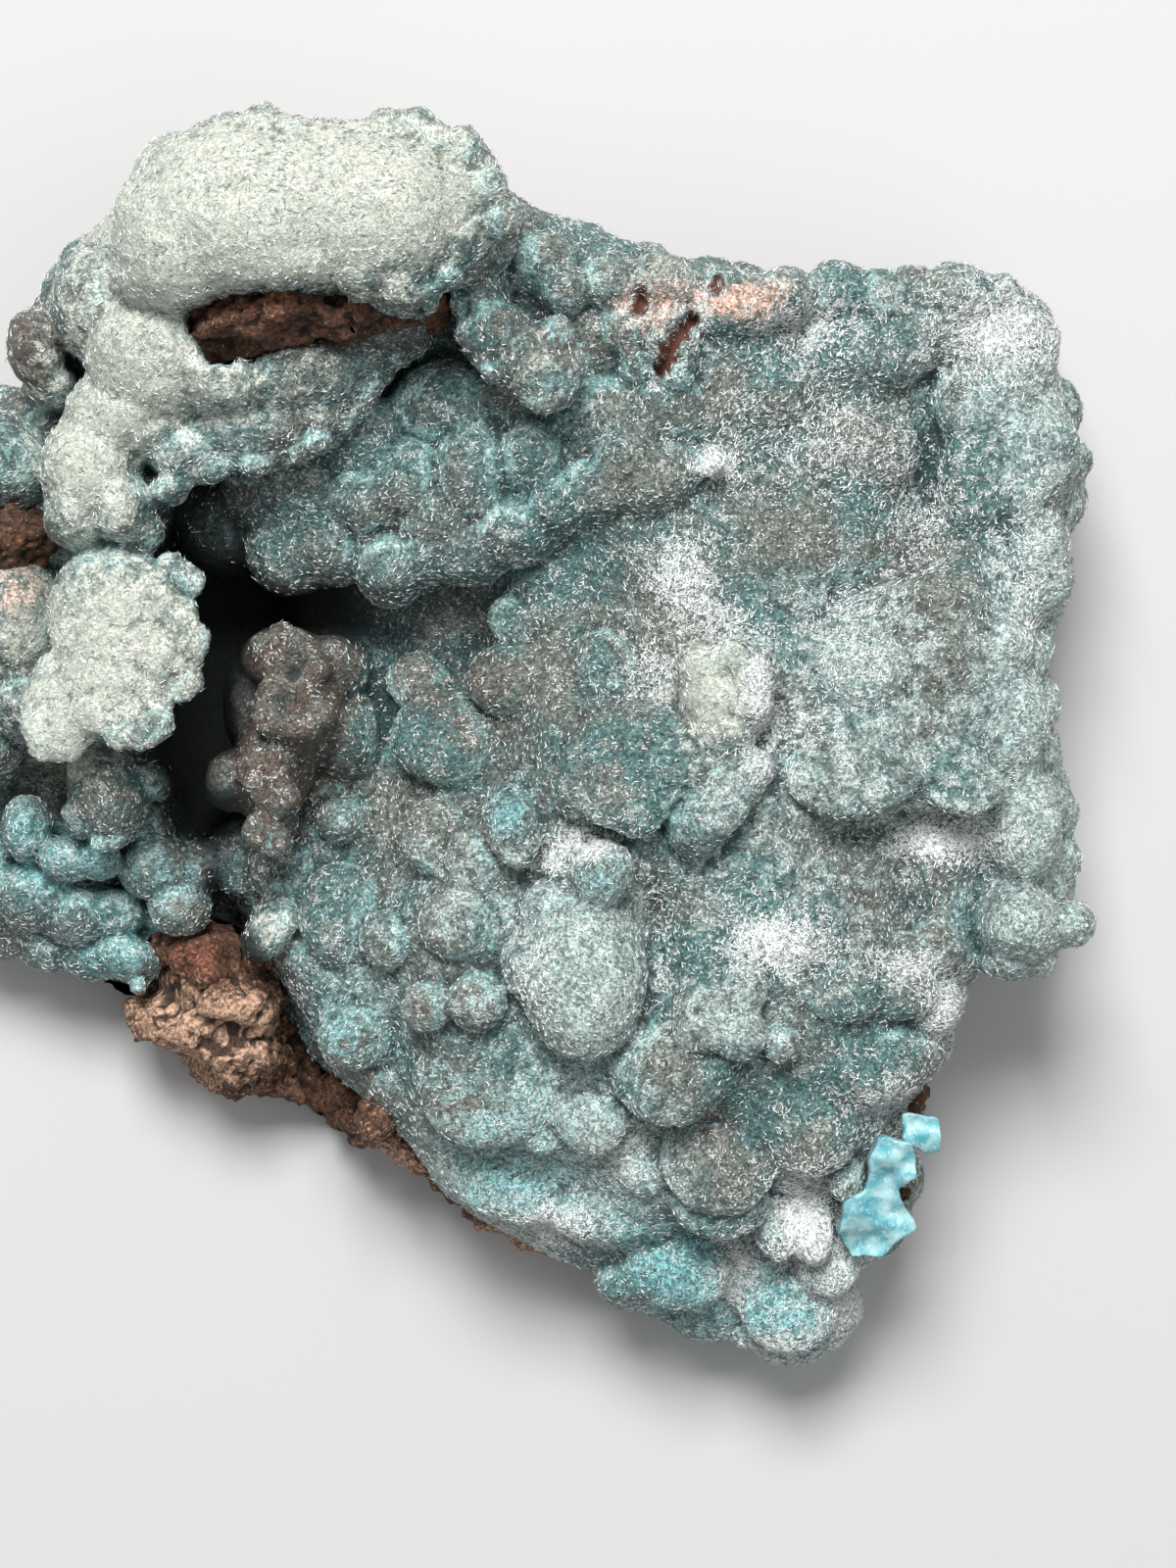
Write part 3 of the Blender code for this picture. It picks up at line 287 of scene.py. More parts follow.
# share of its height that each group keeps, how far the front edges lift, whether its lobes melt into
# the soft field, and the lobes: x, y, top, half widths in x, y and z, turn
crustLobes = {
    "upperLedge": (1.0, 0, False, [
        (-21.6, 37, 42, 7.6, 5.4, 6.6, 0), (-14.4, 37, 41.4, 6.4, 5.4, 6.6, 0),
        (-25.8, 35.8, 40.4, 4.6, 5.2, 6, -14), (-9.4, 37.2, 38.6, 3.9, 5, 5.6, 0),
        (-11.6, 40.2, 38.4, 3.4, 3, 5, 0), (-22.6, 40, 38.6, 3.6, 3, 5, 0),
        (-17.2, 39.6, 39.4, 4, 3, 5, 0), (-26.6, 38.8, 37.4, 2.6, 3, 4.6, -20),
        (-12.4, 32.2, 38.6, 2.1, 1.9, 3.4, 0), (-11, 31.3, 37.4, 1.5, 1.3, 2.8, 0),
        (-14.8, 33, 39.4, 2.2, 1.9, 3.4, 0), (-28.2, 33.4, 37.4, 2.4, 3, 4.6, 0),
        (-6.8, 35.8, 35.4, 2.2, 3.2, 4.4, 0), (-25.4, 32.4, 38.4, 2.2, 1.6, 3, 0),
        (-19.6, 34, 40.6, 5, 2.4, 4, 4),
    ]),
    "lowerLedge": (1.0, 8, False, [
        (-27.4, 28.2, 34.6, 5, 4.6, 6, 0), (-31.6, 30.6, 32.4, 3, 3.2, 5, 0),
        (-32, 32.8, 31, 2, 1.8, 4, 0), (-24, 26.2, 34.2, 3.2, 2.2, 3.6, -20),
        (-19.4, 26.4, 32.8, 3.6, 2.4, 4, 10), (-16.6, 26.2, 31.8, 2, 2.2, 3.4, 0),
        (-29, 24, 31.6, 4.6, 3.2, 5, 10), (-21.6, 22.9, 30.6, 5.4, 2.6, 4.6, 6),
        (-25.8, 21.2, 30.2, 2.4, 1.9, 3.6, 0), (-17.2, 23.8, 30, 2.4, 2.2, 4, 30),
        (-14.8, 27.2, 30.6, 2.6, 2.2, 4, 30), (-12.6, 28.8, 30.6, 2.6, 1.8, 3.6, 20),
        (-26.8, 19, 26.4, 1.5, 1.3, 2.4, 0), (-35.4, 27.8, 28.6, 1.8, 2.6, 4.6, 16),
        (-34.2, 25.4, 26.6, 1.6, 1.4, 3.4, 0),
    ]),
    "leftLobes": (1.0, 8, False, [
        (-38.8, 20.6, 27, 4.2, 3.4, 5, 0), (-32, 20, 31, 3.3, 3.8, 5.6, 0),
        (-30, 17.8, 30.2, 2, 2.4, 4, 0), (-32.8, 17.2, 30, 2.2, 1.9, 4, 0),
        (-28.2, 16.2, 27.4, 1.1, 1.2, 2.4, 0), (-37.4, 10.6, 24.4, 3.8, 4.6, 6, 0),
        (-36.4, 5.4, 22, 2.3, 2.6, 5, 0), (-39.2, 2.2, 18.6, 2.8, 2.4, 5, 0),
        (-40.2, 15.2, 24, 2.6, 3, 5, 0),
    ]),
    "leaf": (1.0, 4, False, [
        (-29.6, 10.6, 27.8, 3.8, 4.2, 2, 0), (-30.2, 6.8, 27.5, 4, 3.8, 2, -10),
        (-32.8, 5.4, 26.8, 2.2, 4, 2, -12), (-30.2, 13, 27.6, 3.4, 2.3, 2, 0),
        (-32.2, 10.6, 27.2, 2.4, 3.8, 2.2, 0), (-27.6, 12, 27.9, 1.9, 2, 1.6, 0),
        (-27.2, 8.2, 27.8, 2, 1.7, 1.6, 0), (-28.8, 4.4, 27.3, 2.2, 1.9, 1.6, 0),
        (-33.6, 3.2, 26.2, 1.5, 1.8, 1.6, 0), (-31.4, 4.8, 27.5, 2.2, 1.8, 1.8, 0),
        (-31.4, 9, 24.6, 3, 5, 8, 0), (-31, -0.6, 21.6, 2.6, 3.6, 5, 8),
        (-28, 0.2, 19.6, 1.4, 1.3, 3, 0),
    ]),
    "frontLeftMass": (1.0, 8, False, [
        (-36, -3, 17.4, 1.5, 2.2, 4, 0), (-33.5, -4.9, 18, 1.7, 1.4, 3, 0),
        (-31.4, -4.8, 17.2, 1.3, 1.3, 3, 0), (-35.4, -7.2, 14.6, 3.2, 2.2, 4, 0),
        (-27.8, -5.4, 15.2, 2.3, 2, 3.6, 20), (-28.2, -3, 13.8, 1.6, 1.9, 3.6, 0),
        (-26.2, -7.9, 14.6, 2, 1.9, 3.4, 0), (-25, -5.4, 13.6, 1.6, 1.8, 3.2, 0),
        (-30.8, -8.4, 13, 2.4, 1.8, 3.4, 0), (-39.2, -5.6, 13.4, 2.6, 3, 4.6, 0),
        (-29.6, -11, 12.2, 2.4, 1.4, 3, -30), (-33, -8.4, 14.4, 2.2, 1.9, 3.6, 0),
    ]),
    "island": (1.0, 6, False, [
        (-19.6, 7.8, 22.4, 2.9, 2.4, 6, 0), (-18.4, 4.6, 22.2, 3.1, 3.6, 6, 0),
        (-20.4, 1, 21.2, 2.6, 3.6, 6, -12), (-20.3, -2.4, 20.6, 1.5, 1.9, 5, 0),
        (-23.2, 0.2, 20.4, 1.6, 1.9, 5, 0), (-22, 5, 19, 1.5, 3, 5, 0),
        (-15.9, -2.4, 17.4, 1.6, 1.4, 3, 0), (-15.4, 3.2, 19.4, 2.2, 3, 5, 0),
        (-16.4, 7.2, 20.4, 2.2, 2.4, 5, 0), (-19.4, 3, 18, 3.4, 6, 11, 0),
    ]),
    "shelf": (0.82, 14, False, [
        (-13.4, 20, 25.4, 10.4, 5.4, 6.4, 4), (0, 22, 26.4, 9.4, 5.2, 6, 6),
        (-19.2, 15.2, 24.8, 3.1, 3.2, 5, 0), (-12.7, 13.9, 26.4, 2.3, 2.5, 4.6, 10),
        (-9.4, 17, 26.6, 3, 2.4, 4.4, 0), (-4.8, 16.2, 27.2, 3, 2.1, 4.2, 8),
        (-14.2, 18.4, 26.6, 2.8, 2.5, 4, 0), (-7.6, 20.2, 28.4, 2.3, 3.2, 4, 0),
        (-3.6, 21, 28.2, 2.1, 2.3, 3.6, 0), (0.2, 18.9, 27.6, 3, 2.1, 4, 8),
        (4.2, 19.8, 27.8, 3.1, 2.5, 4, 22), (-23.2, 16.6, 21.6, 3.4, 3.2, 5, 0),
        (0.6, 23.6, 28, 3.6, 2.8, 4, 0), (-9.2, 24.4, 27.4, 3.6, 2.8, 4, 0),
        (-14.8, 22.4, 27.4, 3, 2.8, 4, 0), (-18.2, 18.8, 24.8, 2.8, 2.4, 4, 0),
        (-4.2, 25.6, 27.6, 3.4, 2.6, 4, 0), (4.8, 24.2, 27.8, 3, 2.6, 4, 0),
        (-16.4, 15.4, 25.4, 2.8, 2.6, 4.6, 0), (-7.6, 15, 26.4, 2.7, 2.2, 4, 0),
        (-10.4, 14.8, 25.8, 2.2, 2, 4, 0), (-1.8, 18.2, 27.2, 2.6, 2, 3.6, 0),
        (2.4, 21.2, 28.2, 2.6, 2.4, 3.6, 0), (-11.6, 19.6, 27.2, 2.8, 2.6, 4, 0),
        (-20.6, 18, 23.6, 2.4, 2.2, 4, 0),
    ]),
    "hangingFinger": (1.0, 8, False, [
        (-6.7, 31.4, 32.8, 1.7, 2.6, 5, 0), (-5.9, 28.8, 33.4, 2.1, 2.3, 4.6, 0),
        (-4, 27.2, 33.4, 2.3, 2.2, 4, 20), (-2.5, 26, 33, 2, 1.9, 3.6, 0),
        (-1.9, 28.6, 33.4, 1.1, 1.4, 3, 10), (-1.3, 26.9, 32.8, 1.1, 1.3, 3, 0),
    ]),
    "backEdge": (0.62, 8, False, [
        (-3, 33.2, 31.6, 2.2, 2, 5, 0), (-1.6, 31.6, 32.4, 1.6, 1.5, 4, 0),
        (1.4, 32.2, 31.4, 2, 1.8, 4.6, 0), (4.8, 32.2, 31.2, 2.2, 1.5, 4, -14),
        (5.2, 28.6, 31, 1.9, 3, 4.6, 8), (5.6, 26.2, 30.4, 1.1, 1.3, 3, 0),
        (3.2, 26.8, 29.4, 1.2, 1.3, 3.6, 0), (9.2, 30.4, 29.6, 3.2, 1.8, 4.6, 0),
        (2.4, 29.4, 29.8, 1.8, 2, 4, 0), (8.6, 31.8, 28.6, 1.6, 1.4, 3.6, 0),
        (12.6, 31.2, 28, 1.9, 1.8, 4, 0), (15.8, 31.4, 27, 1.9, 2.1, 4.6, 0),
        (18.8, 31.2, 26.4, 1.7, 1.7, 4, 0), (23.6, 31.2, 26.4, 2.7, 2, 5, 0),
        (26.4, 31.4, 25.4, 1.3, 1.3, 3.6, 0),
    ]),
    "backRightCorner": (0.5, 8, True, [
        (26.6, 28.4, 27.2, 4, 3.8, 6, 0), (17.6, 28.2, 26.6, 4.8, 2.8, 4.6, -8),
        (21.6, 30.2, 26.2, 3.6, 2.4, 4.6, 0), (25, 24.4, 25.8, 2.9, 3.3, 5, 0),
        (28.8, 21.4, 25, 2.9, 3.1, 5, 0), (27.8, 18.4, 24.8, 1.7, 1.5, 3.6, 0),
        (24.6, 19.4, 25.8, 2.2, 3.4, 4.6, 0), (28.6, 15.4, 23.4, 2.3, 2.5, 5, 0),
        (29.6, 12.8, 21.4, 1.8, 1.7, 4, 0), (22.6, 12, 26.4, 3.2, 1.9, 3.6, 14),
        (14.8, 16.4, 25.6, 2.9, 1.8, 3, -6), (17, 21.4, 24.8, 4.6, 3, 4, 0),
        (11.6, 25.4, 26.4, 3, 2.4, 4, 0),
    ]),
    "rightField": (0.5, 12, True, [
        (26.8, 9, 25.8, 1.9, 2, 4, 0),
        (22.6, 8.4, 26.2, 2.4, 2, 3.6, 0), (17.4, 1.8, 27.2, 4.6, 4.2, 5, 0),
        (22.2, 1, 26.6, 3.2, 2.9, 4.6, 0),
        (27.6, 4.2, 24.6, 2, 3.6, 5, 0), (28.2, -2.6, 24.8, 2.4, 3.8, 5, 0),
        (22.3, -10.2, 24.6, 1.9, 1.6, 3.6, 0), (13.4, -9.4, 25.6, 3.2, 1.7, 3.6, -12),
        (13, 8.6, 26.4, 2.4, 3, 4, 0),
    ]),
    "rimNub": (1.0, 0, False, [
        (27.8, -9, 24, 2.9, 2.7, 5, 0), (30.9, -9, 22.6, 1.7, 1.5, 3.6, 0),
        (26.8, -11.3, 21.4, 1.8, 1.4, 3.4, 0), (28.9, -11.3, 21, 1.1, 1.1, 2.6, 0),
    ]),
    "frostedKnob": (0.74, 12, False, [
        (7.3, 7.4, 30.6, 1.7, 1.9, 4, 0), (9.2, 8.1, 30.8, 1.2, 1.2, 3, 0),
        (10.6, 6.9, 30.8, 1.6, 2.1, 4, 0), (8.2, 5.4, 30.4, 2.3, 2.2, 4.4, 0),
        (10.4, 4.8, 30.2, 1.4, 1.4, 3.6, 0), (8.5, 3.4, 29.4, 2.3, 1.8, 4, 0),
        (8.7, -0.4, 28.8, 2.1, 3.1, 4.4, -24), (7, -2.9, 28.6, 1.9, 2, 4, 0),
        (10.7, 0.6, 28.2, 1.1, 1.6, 3, -20),
    ]),
    "upperPlate": (0.55, 22, False, [
        (2.4, 1.8, 29, 4.6, 3.3, 4.2, 26), (5.4, 2.4, 29.2, 2.5, 1.8, 3.4, 26),
        (3.8, -1, 28.8, 2.1, 1.7, 3.4, 40), (-1, -0.6, 29.2, 1.3, 1.7, 3.6, 14),
        (1, -5.7, 30, 2, 2.1, 4.4, 0), (-4.9, -2.6, 28, 1.7, 2.9, 4.6, 16),
        (1.2, 7.6, 25.6, 2.4, 2.4, 4, 0), (-4.6, 6.8, 23.2, 3.3, 2.5, 4, 8),
        (-9, 3, 21.6, 3.8, 3.2, 4.4, 0),
    ]),
    "centralLobe": (0.5, 14, False, [
        (-0.4, -12, 30, 4.1, 5.9, 7.4, 4), (-3.7, -11.6, 28.2, 1.8, 2.4, 4.6, 0),
        (-2.7, -8.2, 28, 1.6, 2, 4.4, 0), (-10.4, -14.3, 25.8, 1.6, 1.7, 3.6, 0),
        (-7.1, -14, 26.8, 1.9, 1.9, 4, 0), (-7, -4.6, 25.4, 2.2, 2.5, 4, 0),
        (-9.8, -3.4, 24.2, 2.2, 2.6, 4, 0), (-8.4, -9, 25.8, 2.5, 2.3, 4, 0),
        (-12.9, -10, 23.6, 1.8, 2, 4, 0), (-15.8, -8.4, 21.2, 2.8, 3.6, 4.6, 0),
        (-20.2, -9.2, 18, 1.5, 2.6, 3.6, -40), (-15, -16, 19.4, 2.4, 2.5, 4, 0),
        (-19, -5.6, 15.6, 2.8, 2.6, 4, 0), (-22.2, -4.6, 13.8, 2.4, 2.6, 4, 0),
    ]),
    "frontSlope": (0.5, 14, True, [
        (-6.4, -20, 22.4, 4.6, 3.6, 4, 0), (5.2, -18.4, 26, 3.8, 3.8, 4.4, 0),
        (18.4, -18, 24.4, 3.2, 2.8, 4.6, 0), (21, -17.2, 22.4, 1.9, 2.4, 4, 0),
        (-6, -25.6, 17.6, 4.2, 2.2, 3.6, -28), (0.6, -27.4, 17, 4.4, 2.2, 3.6, -14),
        (14.5, -22.4, 23.6, 3.1, 3, 4.6, 0),
    ]),
    "smallLobes": (0.42, 16, False, [
        (0.2, -21.6, 24.4, 2.4, 2.2, 3.6, 0), (7.6, -14.8, 28, 2.2, 2.5, 4, 0),
        (9.7, -15.9, 29, 1.7, 1.9, 3.6, 0), (10, -13.2, 28.2, 1.5, 1.7, 3.6, 0),
        (12.4, -16.7, 27.2, 1.3, 1.3, 3, 0), (8.4, -23.8, 24, 3.8, 4, 4.4, 0),
        (8.4, -26.8, 22.8, 3.3, 2.4, 4, 0), (16.4, -13, 26.2, 2.5, 2.4, 4, 0),
        (20, -13.2, 25.8, 2.2, 2, 4, 0), (22.2, -14.2, 24, 1.7, 1.8, 4, 0),
        (5.6, -30.8, 17, 3.6, 3, 4.6, -12), (12.9, -33.2, 15.6, 3.5, 3.3, 5, 0),
        (15.4, -30.4, 16.4, 2.1, 2.6, 4, 0), (11.6, -27.8, 20.4, 1.3, 3, 4, 18),
        (14.1, -28, 20, 1.4, 2.8, 4, 10), (16.5, -25, 21, 1.3, 1.9, 3.6, 0),
        (18, -27.8, 16.6, 2.2, 2.2, 3.6, 0), (17.5, 7.9, 27.6, 3, 3.1, 4, 0),
        (-8.4, -9, 25.4, 2.5, 2.3, 4, 0), (-3, -22.4, 21, 1.5, 1.4, 3, 0),
        (-9.6, -18.6, 20.6, 1.7, 1.6, 3, 0), (3.6, -25, 20.6, 1.6, 1.5, 3, 0),
        (23.6, 1.8, 26, 2, 1.8, 3, 0), (13.6, 12.4, 25.6, 1.8, 1.6, 2.6, 0),
        (-4.4, 10.6, 22.6, 2.2, 1.8, 2.6, 0), (-11, 6.6, 19.4, 2, 2, 3, 0),
    ]),
    "overlappingShells": (1.0, 20, False, [  # flat lobes whose front edges stand free of the crust below
        (2.6, 0.4, 27.2, 4, 3.2, 1.3, 30), (5.6, 1.8, 27.4, 2.4, 1.9, 1.1, 30),
        (3.2, -1.8, 26.9, 1.9, 1.7, 1, 30),
        (8.6, -0.6, 27.3, 2.1, 3.3, 1.3, -26), (7.4, -2.4, 26.6, 1.9, 1.9, 1.1, 0),
        (17, 0.6, 26.3, 4.4, 3, 1.3, 8), (24.2, -0.2, 25.3, 2.6, 1.9, 1.1, 0),
        (-4.9, -2.9, 26, 1.7, 2.7, 1.5, 16), (7.6, 20.6, 26.4, 1.4, 1, 1, 30),
        (-20.2, -9.2, 16.8, 1.4, 2.4, 1.5, -40),
    ]),
}

# Lobes in tiers along the outline: how far in, how far under the rim, and their size.
rimLobes = {"step": 3.3, "seed": 11, "tiers": [
    (1.1, 2.6, 1.6), (0.9, 5.4, 2), (1.5, 8.6, 2.3), (2.4, 12, 2.3),
]}

# Small beads along the lobed edges: top, size, how tall against it, step and run
edgeBeads = {"seed": 5, "runs": [
    (38.6, 1.15, 1.3, 1.9, [
        (-29.6, 35.6), (-27.6, 39.2), (-25, 41.2), (-22, 42.1), (-18.6, 41.8), (-15.6, 41.2), (-11.6, 42.1),
        (-8.8, 41.2), (-7, 39.4), (-5.6, 37.4), (-4.9, 35.6),
    ]),
    (37.6, 0.9, 1.3, 1.7, [(-12.6, 31.4), (-10.8, 30.9), (-9.6, 32.4), (-8.2, 33.8)]),
    (27.5, 0.95, 0.9, 1.5, [
        (-27.4, 14.6), (-25.4, 13.4), (-26.2, 11), (-25.2, 8.8), (-25.9, 6.4), (-26.9, 4.4), (-29, 2.8),
        (-31, 3.1),
    ]),
    (26.3, 0.95, 0.9, 1.6, [(-32.4, 2.3), (-34.2, 1.7), (-35.1, 2.9), (-35.3, 5.4), (-34.2, 7.6)]),
    (27.9, 0.8, 0.9, 2.2, [
        (-30.6, 12.6), (-28.6, 10.4), (-31.2, 9), (-28.4, 6.8), (-31.6, 6), (-33, 4.4),
    ]),
    (29.2, 0.8, 1.3, 1.6, [
        (-27.4, 18.4), (-25, 20), (-22.6, 20.6), (-19.4, 20.9), (-16.4, 22.2), (-14.2, 25.2), (-11.8, 27.6),
    ]),
    (20, 0.8, 1.3, 1.5, [(-33.4, -1), (-32.2, -3.2), (-30.8, -4.2), (-29.4, -2.6)]),
    (32, 0.7, 1.3, 1.3, [
        (-8.3, 31.6), (-7.7, 28.8), (-6.2, 26.6), (-4.2, 25.2), (-2.2, 24.4), (-0.8, 25.8), (-1.2, 27.6),
    ]),
    (22.7, 0.85, 1.2, 1, [
        (-21.6, 8.8), (-19, 9.6), (-17.2, 8), (-18.2, 6), (-20.4, 6.6), (-21, 4.6), (-18.4, 3.4),
        (-16.6, 4.6),
    ]),
    (21.5, 0.85, 1.2, 1, [
        (-19.6, 2.4), (-21.8, 1.6), (-21.2, -0.6), (-18.8, 0), (-20.2, -2), (-21.4, -3), (-19.6, -3.8),
    ]),
    (12, 0.8, 3, 1, [(-31, -10.4), (-29.4, -11.8), (-28.3, -13.3)]),
]}


def lobesAlongEdges():
    rng = random.Random(edgeBeads["seed"])
    lobes = []
    for top, size, tall, step, path in edgeBeads["runs"]:
        for (startX, startY), (endX, endY) in zip(path, path[1:]):
            steps = max(1, round(math.hypot(endX - startX, endY - startY) / step))
            for index in range(steps):
                share = (index + rng.uniform(0.2, 0.8)) / steps
                radius = size * rng.uniform(0.7, 1.3)
                x = startX + (endX - startX) * share + rng.uniform(-0.2, 0.2)
                y = startY + (endY - startY) * share + rng.uniform(-0.2, 0.2)
                lobes.append((x, y, top + rng.uniform(-0.6, 0.4), radius, radius, radius * tall, 0, 0))
    return lobes


def blendedHeight(places):
    heights = np.array(reliefHeights)
    gap = np.linalg.norm(places[:, None] - heights[None, :, :2], axis=2)
    weight = np.exp(-((gap / crustShape["reach"]) ** 2)) + 1e-4 / (1 + gap**2)
    height = weight @ heights[:, 2] / weight.sum(axis=1)
    for width, depth, path in reliefGrooves:
        height -= depth * np.exp(-((distanceToPath(places, path) / width) ** 2))
    return height


def reliefHeight(places):
    guess = blendedHeight(places)
    return blendedHeight(places * (sharpDistance / (eye["height"] - guess))[:, None])


def onBareSide(x, y):  # the broken front side, where the rock shows right up to the rim
    left, right, top = crustShape["bareSide"]
    return (x > left) & (x < right) & (y < top)


def crustSlab():
    shape = crustShape
    outline = [inSight(x, y, shape["rimHeight"]) for x, y in crustOutline]
    slab = outlineSlab("crustSlab", outline, shape["foot"], shape["slabTop"])
    mesh = fuse("crustSlab", slab, shape["slabGrid"])
    points = pointsOf(mesh)
    inside = distanceToPath(points[:, :2], outline, closed=True)
    edge = 1 - np.clip(inside / shape["rimWidth"], 0, 1)
    height = reliefHeight(points[:, :2]) - shape["rimDrop"] * (1 - np.sqrt(1 - edge**2))
    low, high = shape["flankFoot"]
    flat = points * (1, 1, 0)
    end = low + (high - low) * np.clip(0.5 + 0.9 * softNoise(flat, shape["flankGrain"]), 0, 1)
    end = np.where(onBareSide(points[:, 0], points[:, 1]), height - shape["rimWidth"], end)
    end = np.minimum(end, height - shape["rimWidth"])
    foot = shape["foot"] + (end - shape["foot"]) * (1 - np.clip(inside / shape["flankWidth"], 0, 1))
    share = (points[:, 2] - shape["foot"]) / (shape["slabTop"] - shape["foot"])
    points[:, 2] = foot + share * (height - foot)
    points[:, :2] *= (1 - shape["undercut"] * (1 - share) ** 2)[:, None]
    putPoints(mesh, points)
    return mesh


def lobesOverRelief(softOnes):
    lobes = []
    for rise, lift, soft, listed in crustLobes.values():
        if soft != softOnes:
            continue
        for x, y, top, halfX, halfY, halfZ, turn in listed:
            ground = float(reliefHeight(np.array([inSight(x, y, top)]))[0])
            lobes.append((x, y, ground + rise * (top - ground), halfX, halfY, halfZ * rise, turn, lift))
    return lobes


def lobesAlongRim():
    rng = random.Random(rimLobes["seed"])
    lobes = []
    corners = [Vector(corner) for corner in crustOutline]
    for start, end in zip(corners, corners[1:] + corners[:1]):
        run = end - start
        inward = Vector((run.y, -run.x)).normalized()
        steps = max(1, round(run.length / rimLobes["step"]))
        for step in range(steps):
            for inset, drop, size in rimLobes["tiers"]:
                spot = start + run * (step + rng.uniform(0.1, 0.9)) / steps
                radius = size * rng.uniform(0.65, 1.25)
                spot += inward * (inset + 0.6 * (radius - size) + rng.uniform(-0.2, 0.4))
                if onBareSide(spot.x, spot.y):
                    continue
                rim = float(reliefHeight(np.array([spot + inward * 2]))[0])
                top = max(rim - drop * rng.uniform(0.7, 1.1), crustShape["flankFoot"][0] + 2.2 * radius)
                lobes.append((spot.x, spot.y, top, radius, radius, radius * 1.15, 0, 0))
    return lobes


print("crust: broad shape and lobes")
softBase = joinMeshes("softBase", [crustSlab(), lobeMesh("softLobes", lobesOverRelief(True))])
softBase = fuse("softBase", softBase, crustShape["softGrid"], crustShape["softSmoothing"])
fullLobes = lobeMesh("lobes", lobesOverRelief(False) + lobesAlongRim() + lobesAlongEdges())
roughCrust = joinMeshes("roughCrust", [softBase, fullLobes])
crustMesh = fuse("crust", roughCrust, crustShape["grid"], crustShape["smoothing"])
# the same without its lobes' detail, to measure against
broadMesh = fuse("broadCrust", roughCrust, crustShape["broadGrid"], crustShape["broadSmoothing"])

# Where the crust is broken away down to the rock: depth, least height it starts from, and outline
crustBreaks = {"ragged": 0.5, "grain": 0.9, "edge": 0.5, "carve": 1.3, "places": [
    (7.5, 29, [
        (-26.4, 30.3), (-24.2, 31.7), (-21.9, 32), (-15.5, 32), (-15, 30.9), (-10.2, 30.4), (-10.4, 29.6),
        (-15.6, 28.3), (-18.8, 27.9), (-21.3, 27.1), (-24.4, 26.7), (-25.4, 28.6),
    ]),
    (3, 20, [
        (-39, 17.8), (-36.4, 17.6), (-34.3, 16.4), (-34.4, 14.6), (-36.6, 14), (-39, 13.4),
    ]),
]}


def breakAway(mesh):
    points, normals = pointsOf(mesh), normalsOf(mesh)
    stray = [softNoise(points, crustBreaks["grain"], shift) for shift in (1.3, 8.8)]
    ragged = seenPlaces(points) + crustBreaks["ragged"] * np.stack(stray, axis=1)
    for depth, low, outline in crustBreaks["places"]:
        inside = insidePath(ragged, outline) & (points[:, 2] > low)
        inward = distanceToPath(ragged, outline, closed=True)
        share = inside * np.clip(inward / crustBreaks["edge"], 0, 1)
        facingUp = normals[:, 2] > 0.1
        points[:, 2] -= depth * share * facingUp
        points -= normals * (crustBreaks["carve"] * share * ~facingUp)[:, None]  # walls only move inward
    putPoints(mesh, points)


# The crust's skin: rounded cells in cells, then fine roughness
crustSkin = {
    # size, height and shift of the rounded cells, and the share of them that the flat field keeps
    "cells": [(6.0, 0.7, 0.0, 0.12), (2.6, 0.42, 3.1, 0.25), (1.2, 0.15, 7.7, 0.5)],
    "cellLevel": 0.75, "edgeWidth": 4.0,
    "lobed": [  # where the cells stand out fully: x, y, radius x, radius y, strength
        (-9, 38, 5, 4, 0.7), (-27, 25, 9, 6, 0.6), (-30, 9, 6, 9, 1),
        (-38, 10, 6, 14, 0.9), (-32, -6, 8, 5, 0.9), (-19, 3, 5, 8, 0.8),
        (-8, 17, 14, 5, 0.5), (-4, 28, 5, 5, 0.8), (12, -33, 6, 5, 0.8),
    ],
    "roughness": [(0.9, 0.08), (0.38, 0.045)],  # grain and height
    "jitter": 0.02, "seed": 4,
    "slotRagged": 1.1, "slotGrain": 0.7, "slotRing": (1.9, 0.6, 0.3),  # ring: how far out, width, strength
    "slots": [  # thin splits in the crust: width, depth and run
        (0.55, 1.7, [(4.9, 26.6), (5.5, 28.2), (6.5, 29.5)]),
        (0.34, 0.8, [(8, 31.5), (8.3, 32.2)]),
        (0.34, 0.7, [(3.1, 30), (3.4, 31.2)]),
    ],
}


def slotDistances(points):  # how far each point is from each slot, in slot widths
    ragged = crustSkin["slotRagged"] * softNoise(points, crustSkin["slotGrain"])
    for width, _, path in crustSkin["slots"]:
        yield distanceToPath(seenPlaces(points), path) / width + ragged


def shapeSkin(mesh):
    seen = seenPlaces(pointsOf(mesh))
    edge = np.clip(1 - distanceToPath(seen, crustOutline, closed=True) / crustSkin["edgeWidth"], 0, 1)
    lobed = softSpots(seen, crustSkin["lobed"])
    for cell, height, shift, plain in crustSkin["cells"]:
        points, normals = pointsOf(mesh), normalsOf(mesh)
        dome = np.sqrt(np.maximum(0, 1 - cellDistance(points, cell, shift) ** 2)) - crustSkin["cellLevel"]
        share = np.clip(plain + edge + lobed, 0, 1)
        putPoints(mesh, points + normals * (dome * height * share)[:, None])
    points, normals = pointsOf(mesh), normalsOf(mesh)
    push = sum(height * softNoise(points, grain, 5.5) for grain, height in crustSkin["roughness"])
    push += np.random.default_rng(crustSkin["seed"]).uniform(-1, 1, len(points)) * crustSkin["jitter"]
    points = points + normals * push[:, None]
    for (_, depth, _), away in zip(crustSkin["slots"], slotDistances(points)):
        split = np.exp(-(away.clip(0) ** 4)) * (normals[:, 2] > 0.2)
        points[:, 2] -= depth * split
    putPoints(mesh, points)


breakAway(crustMesh)
shapeSkin(crustMesh)
print("crust: skin", len(crustMesh.vertices), "points")

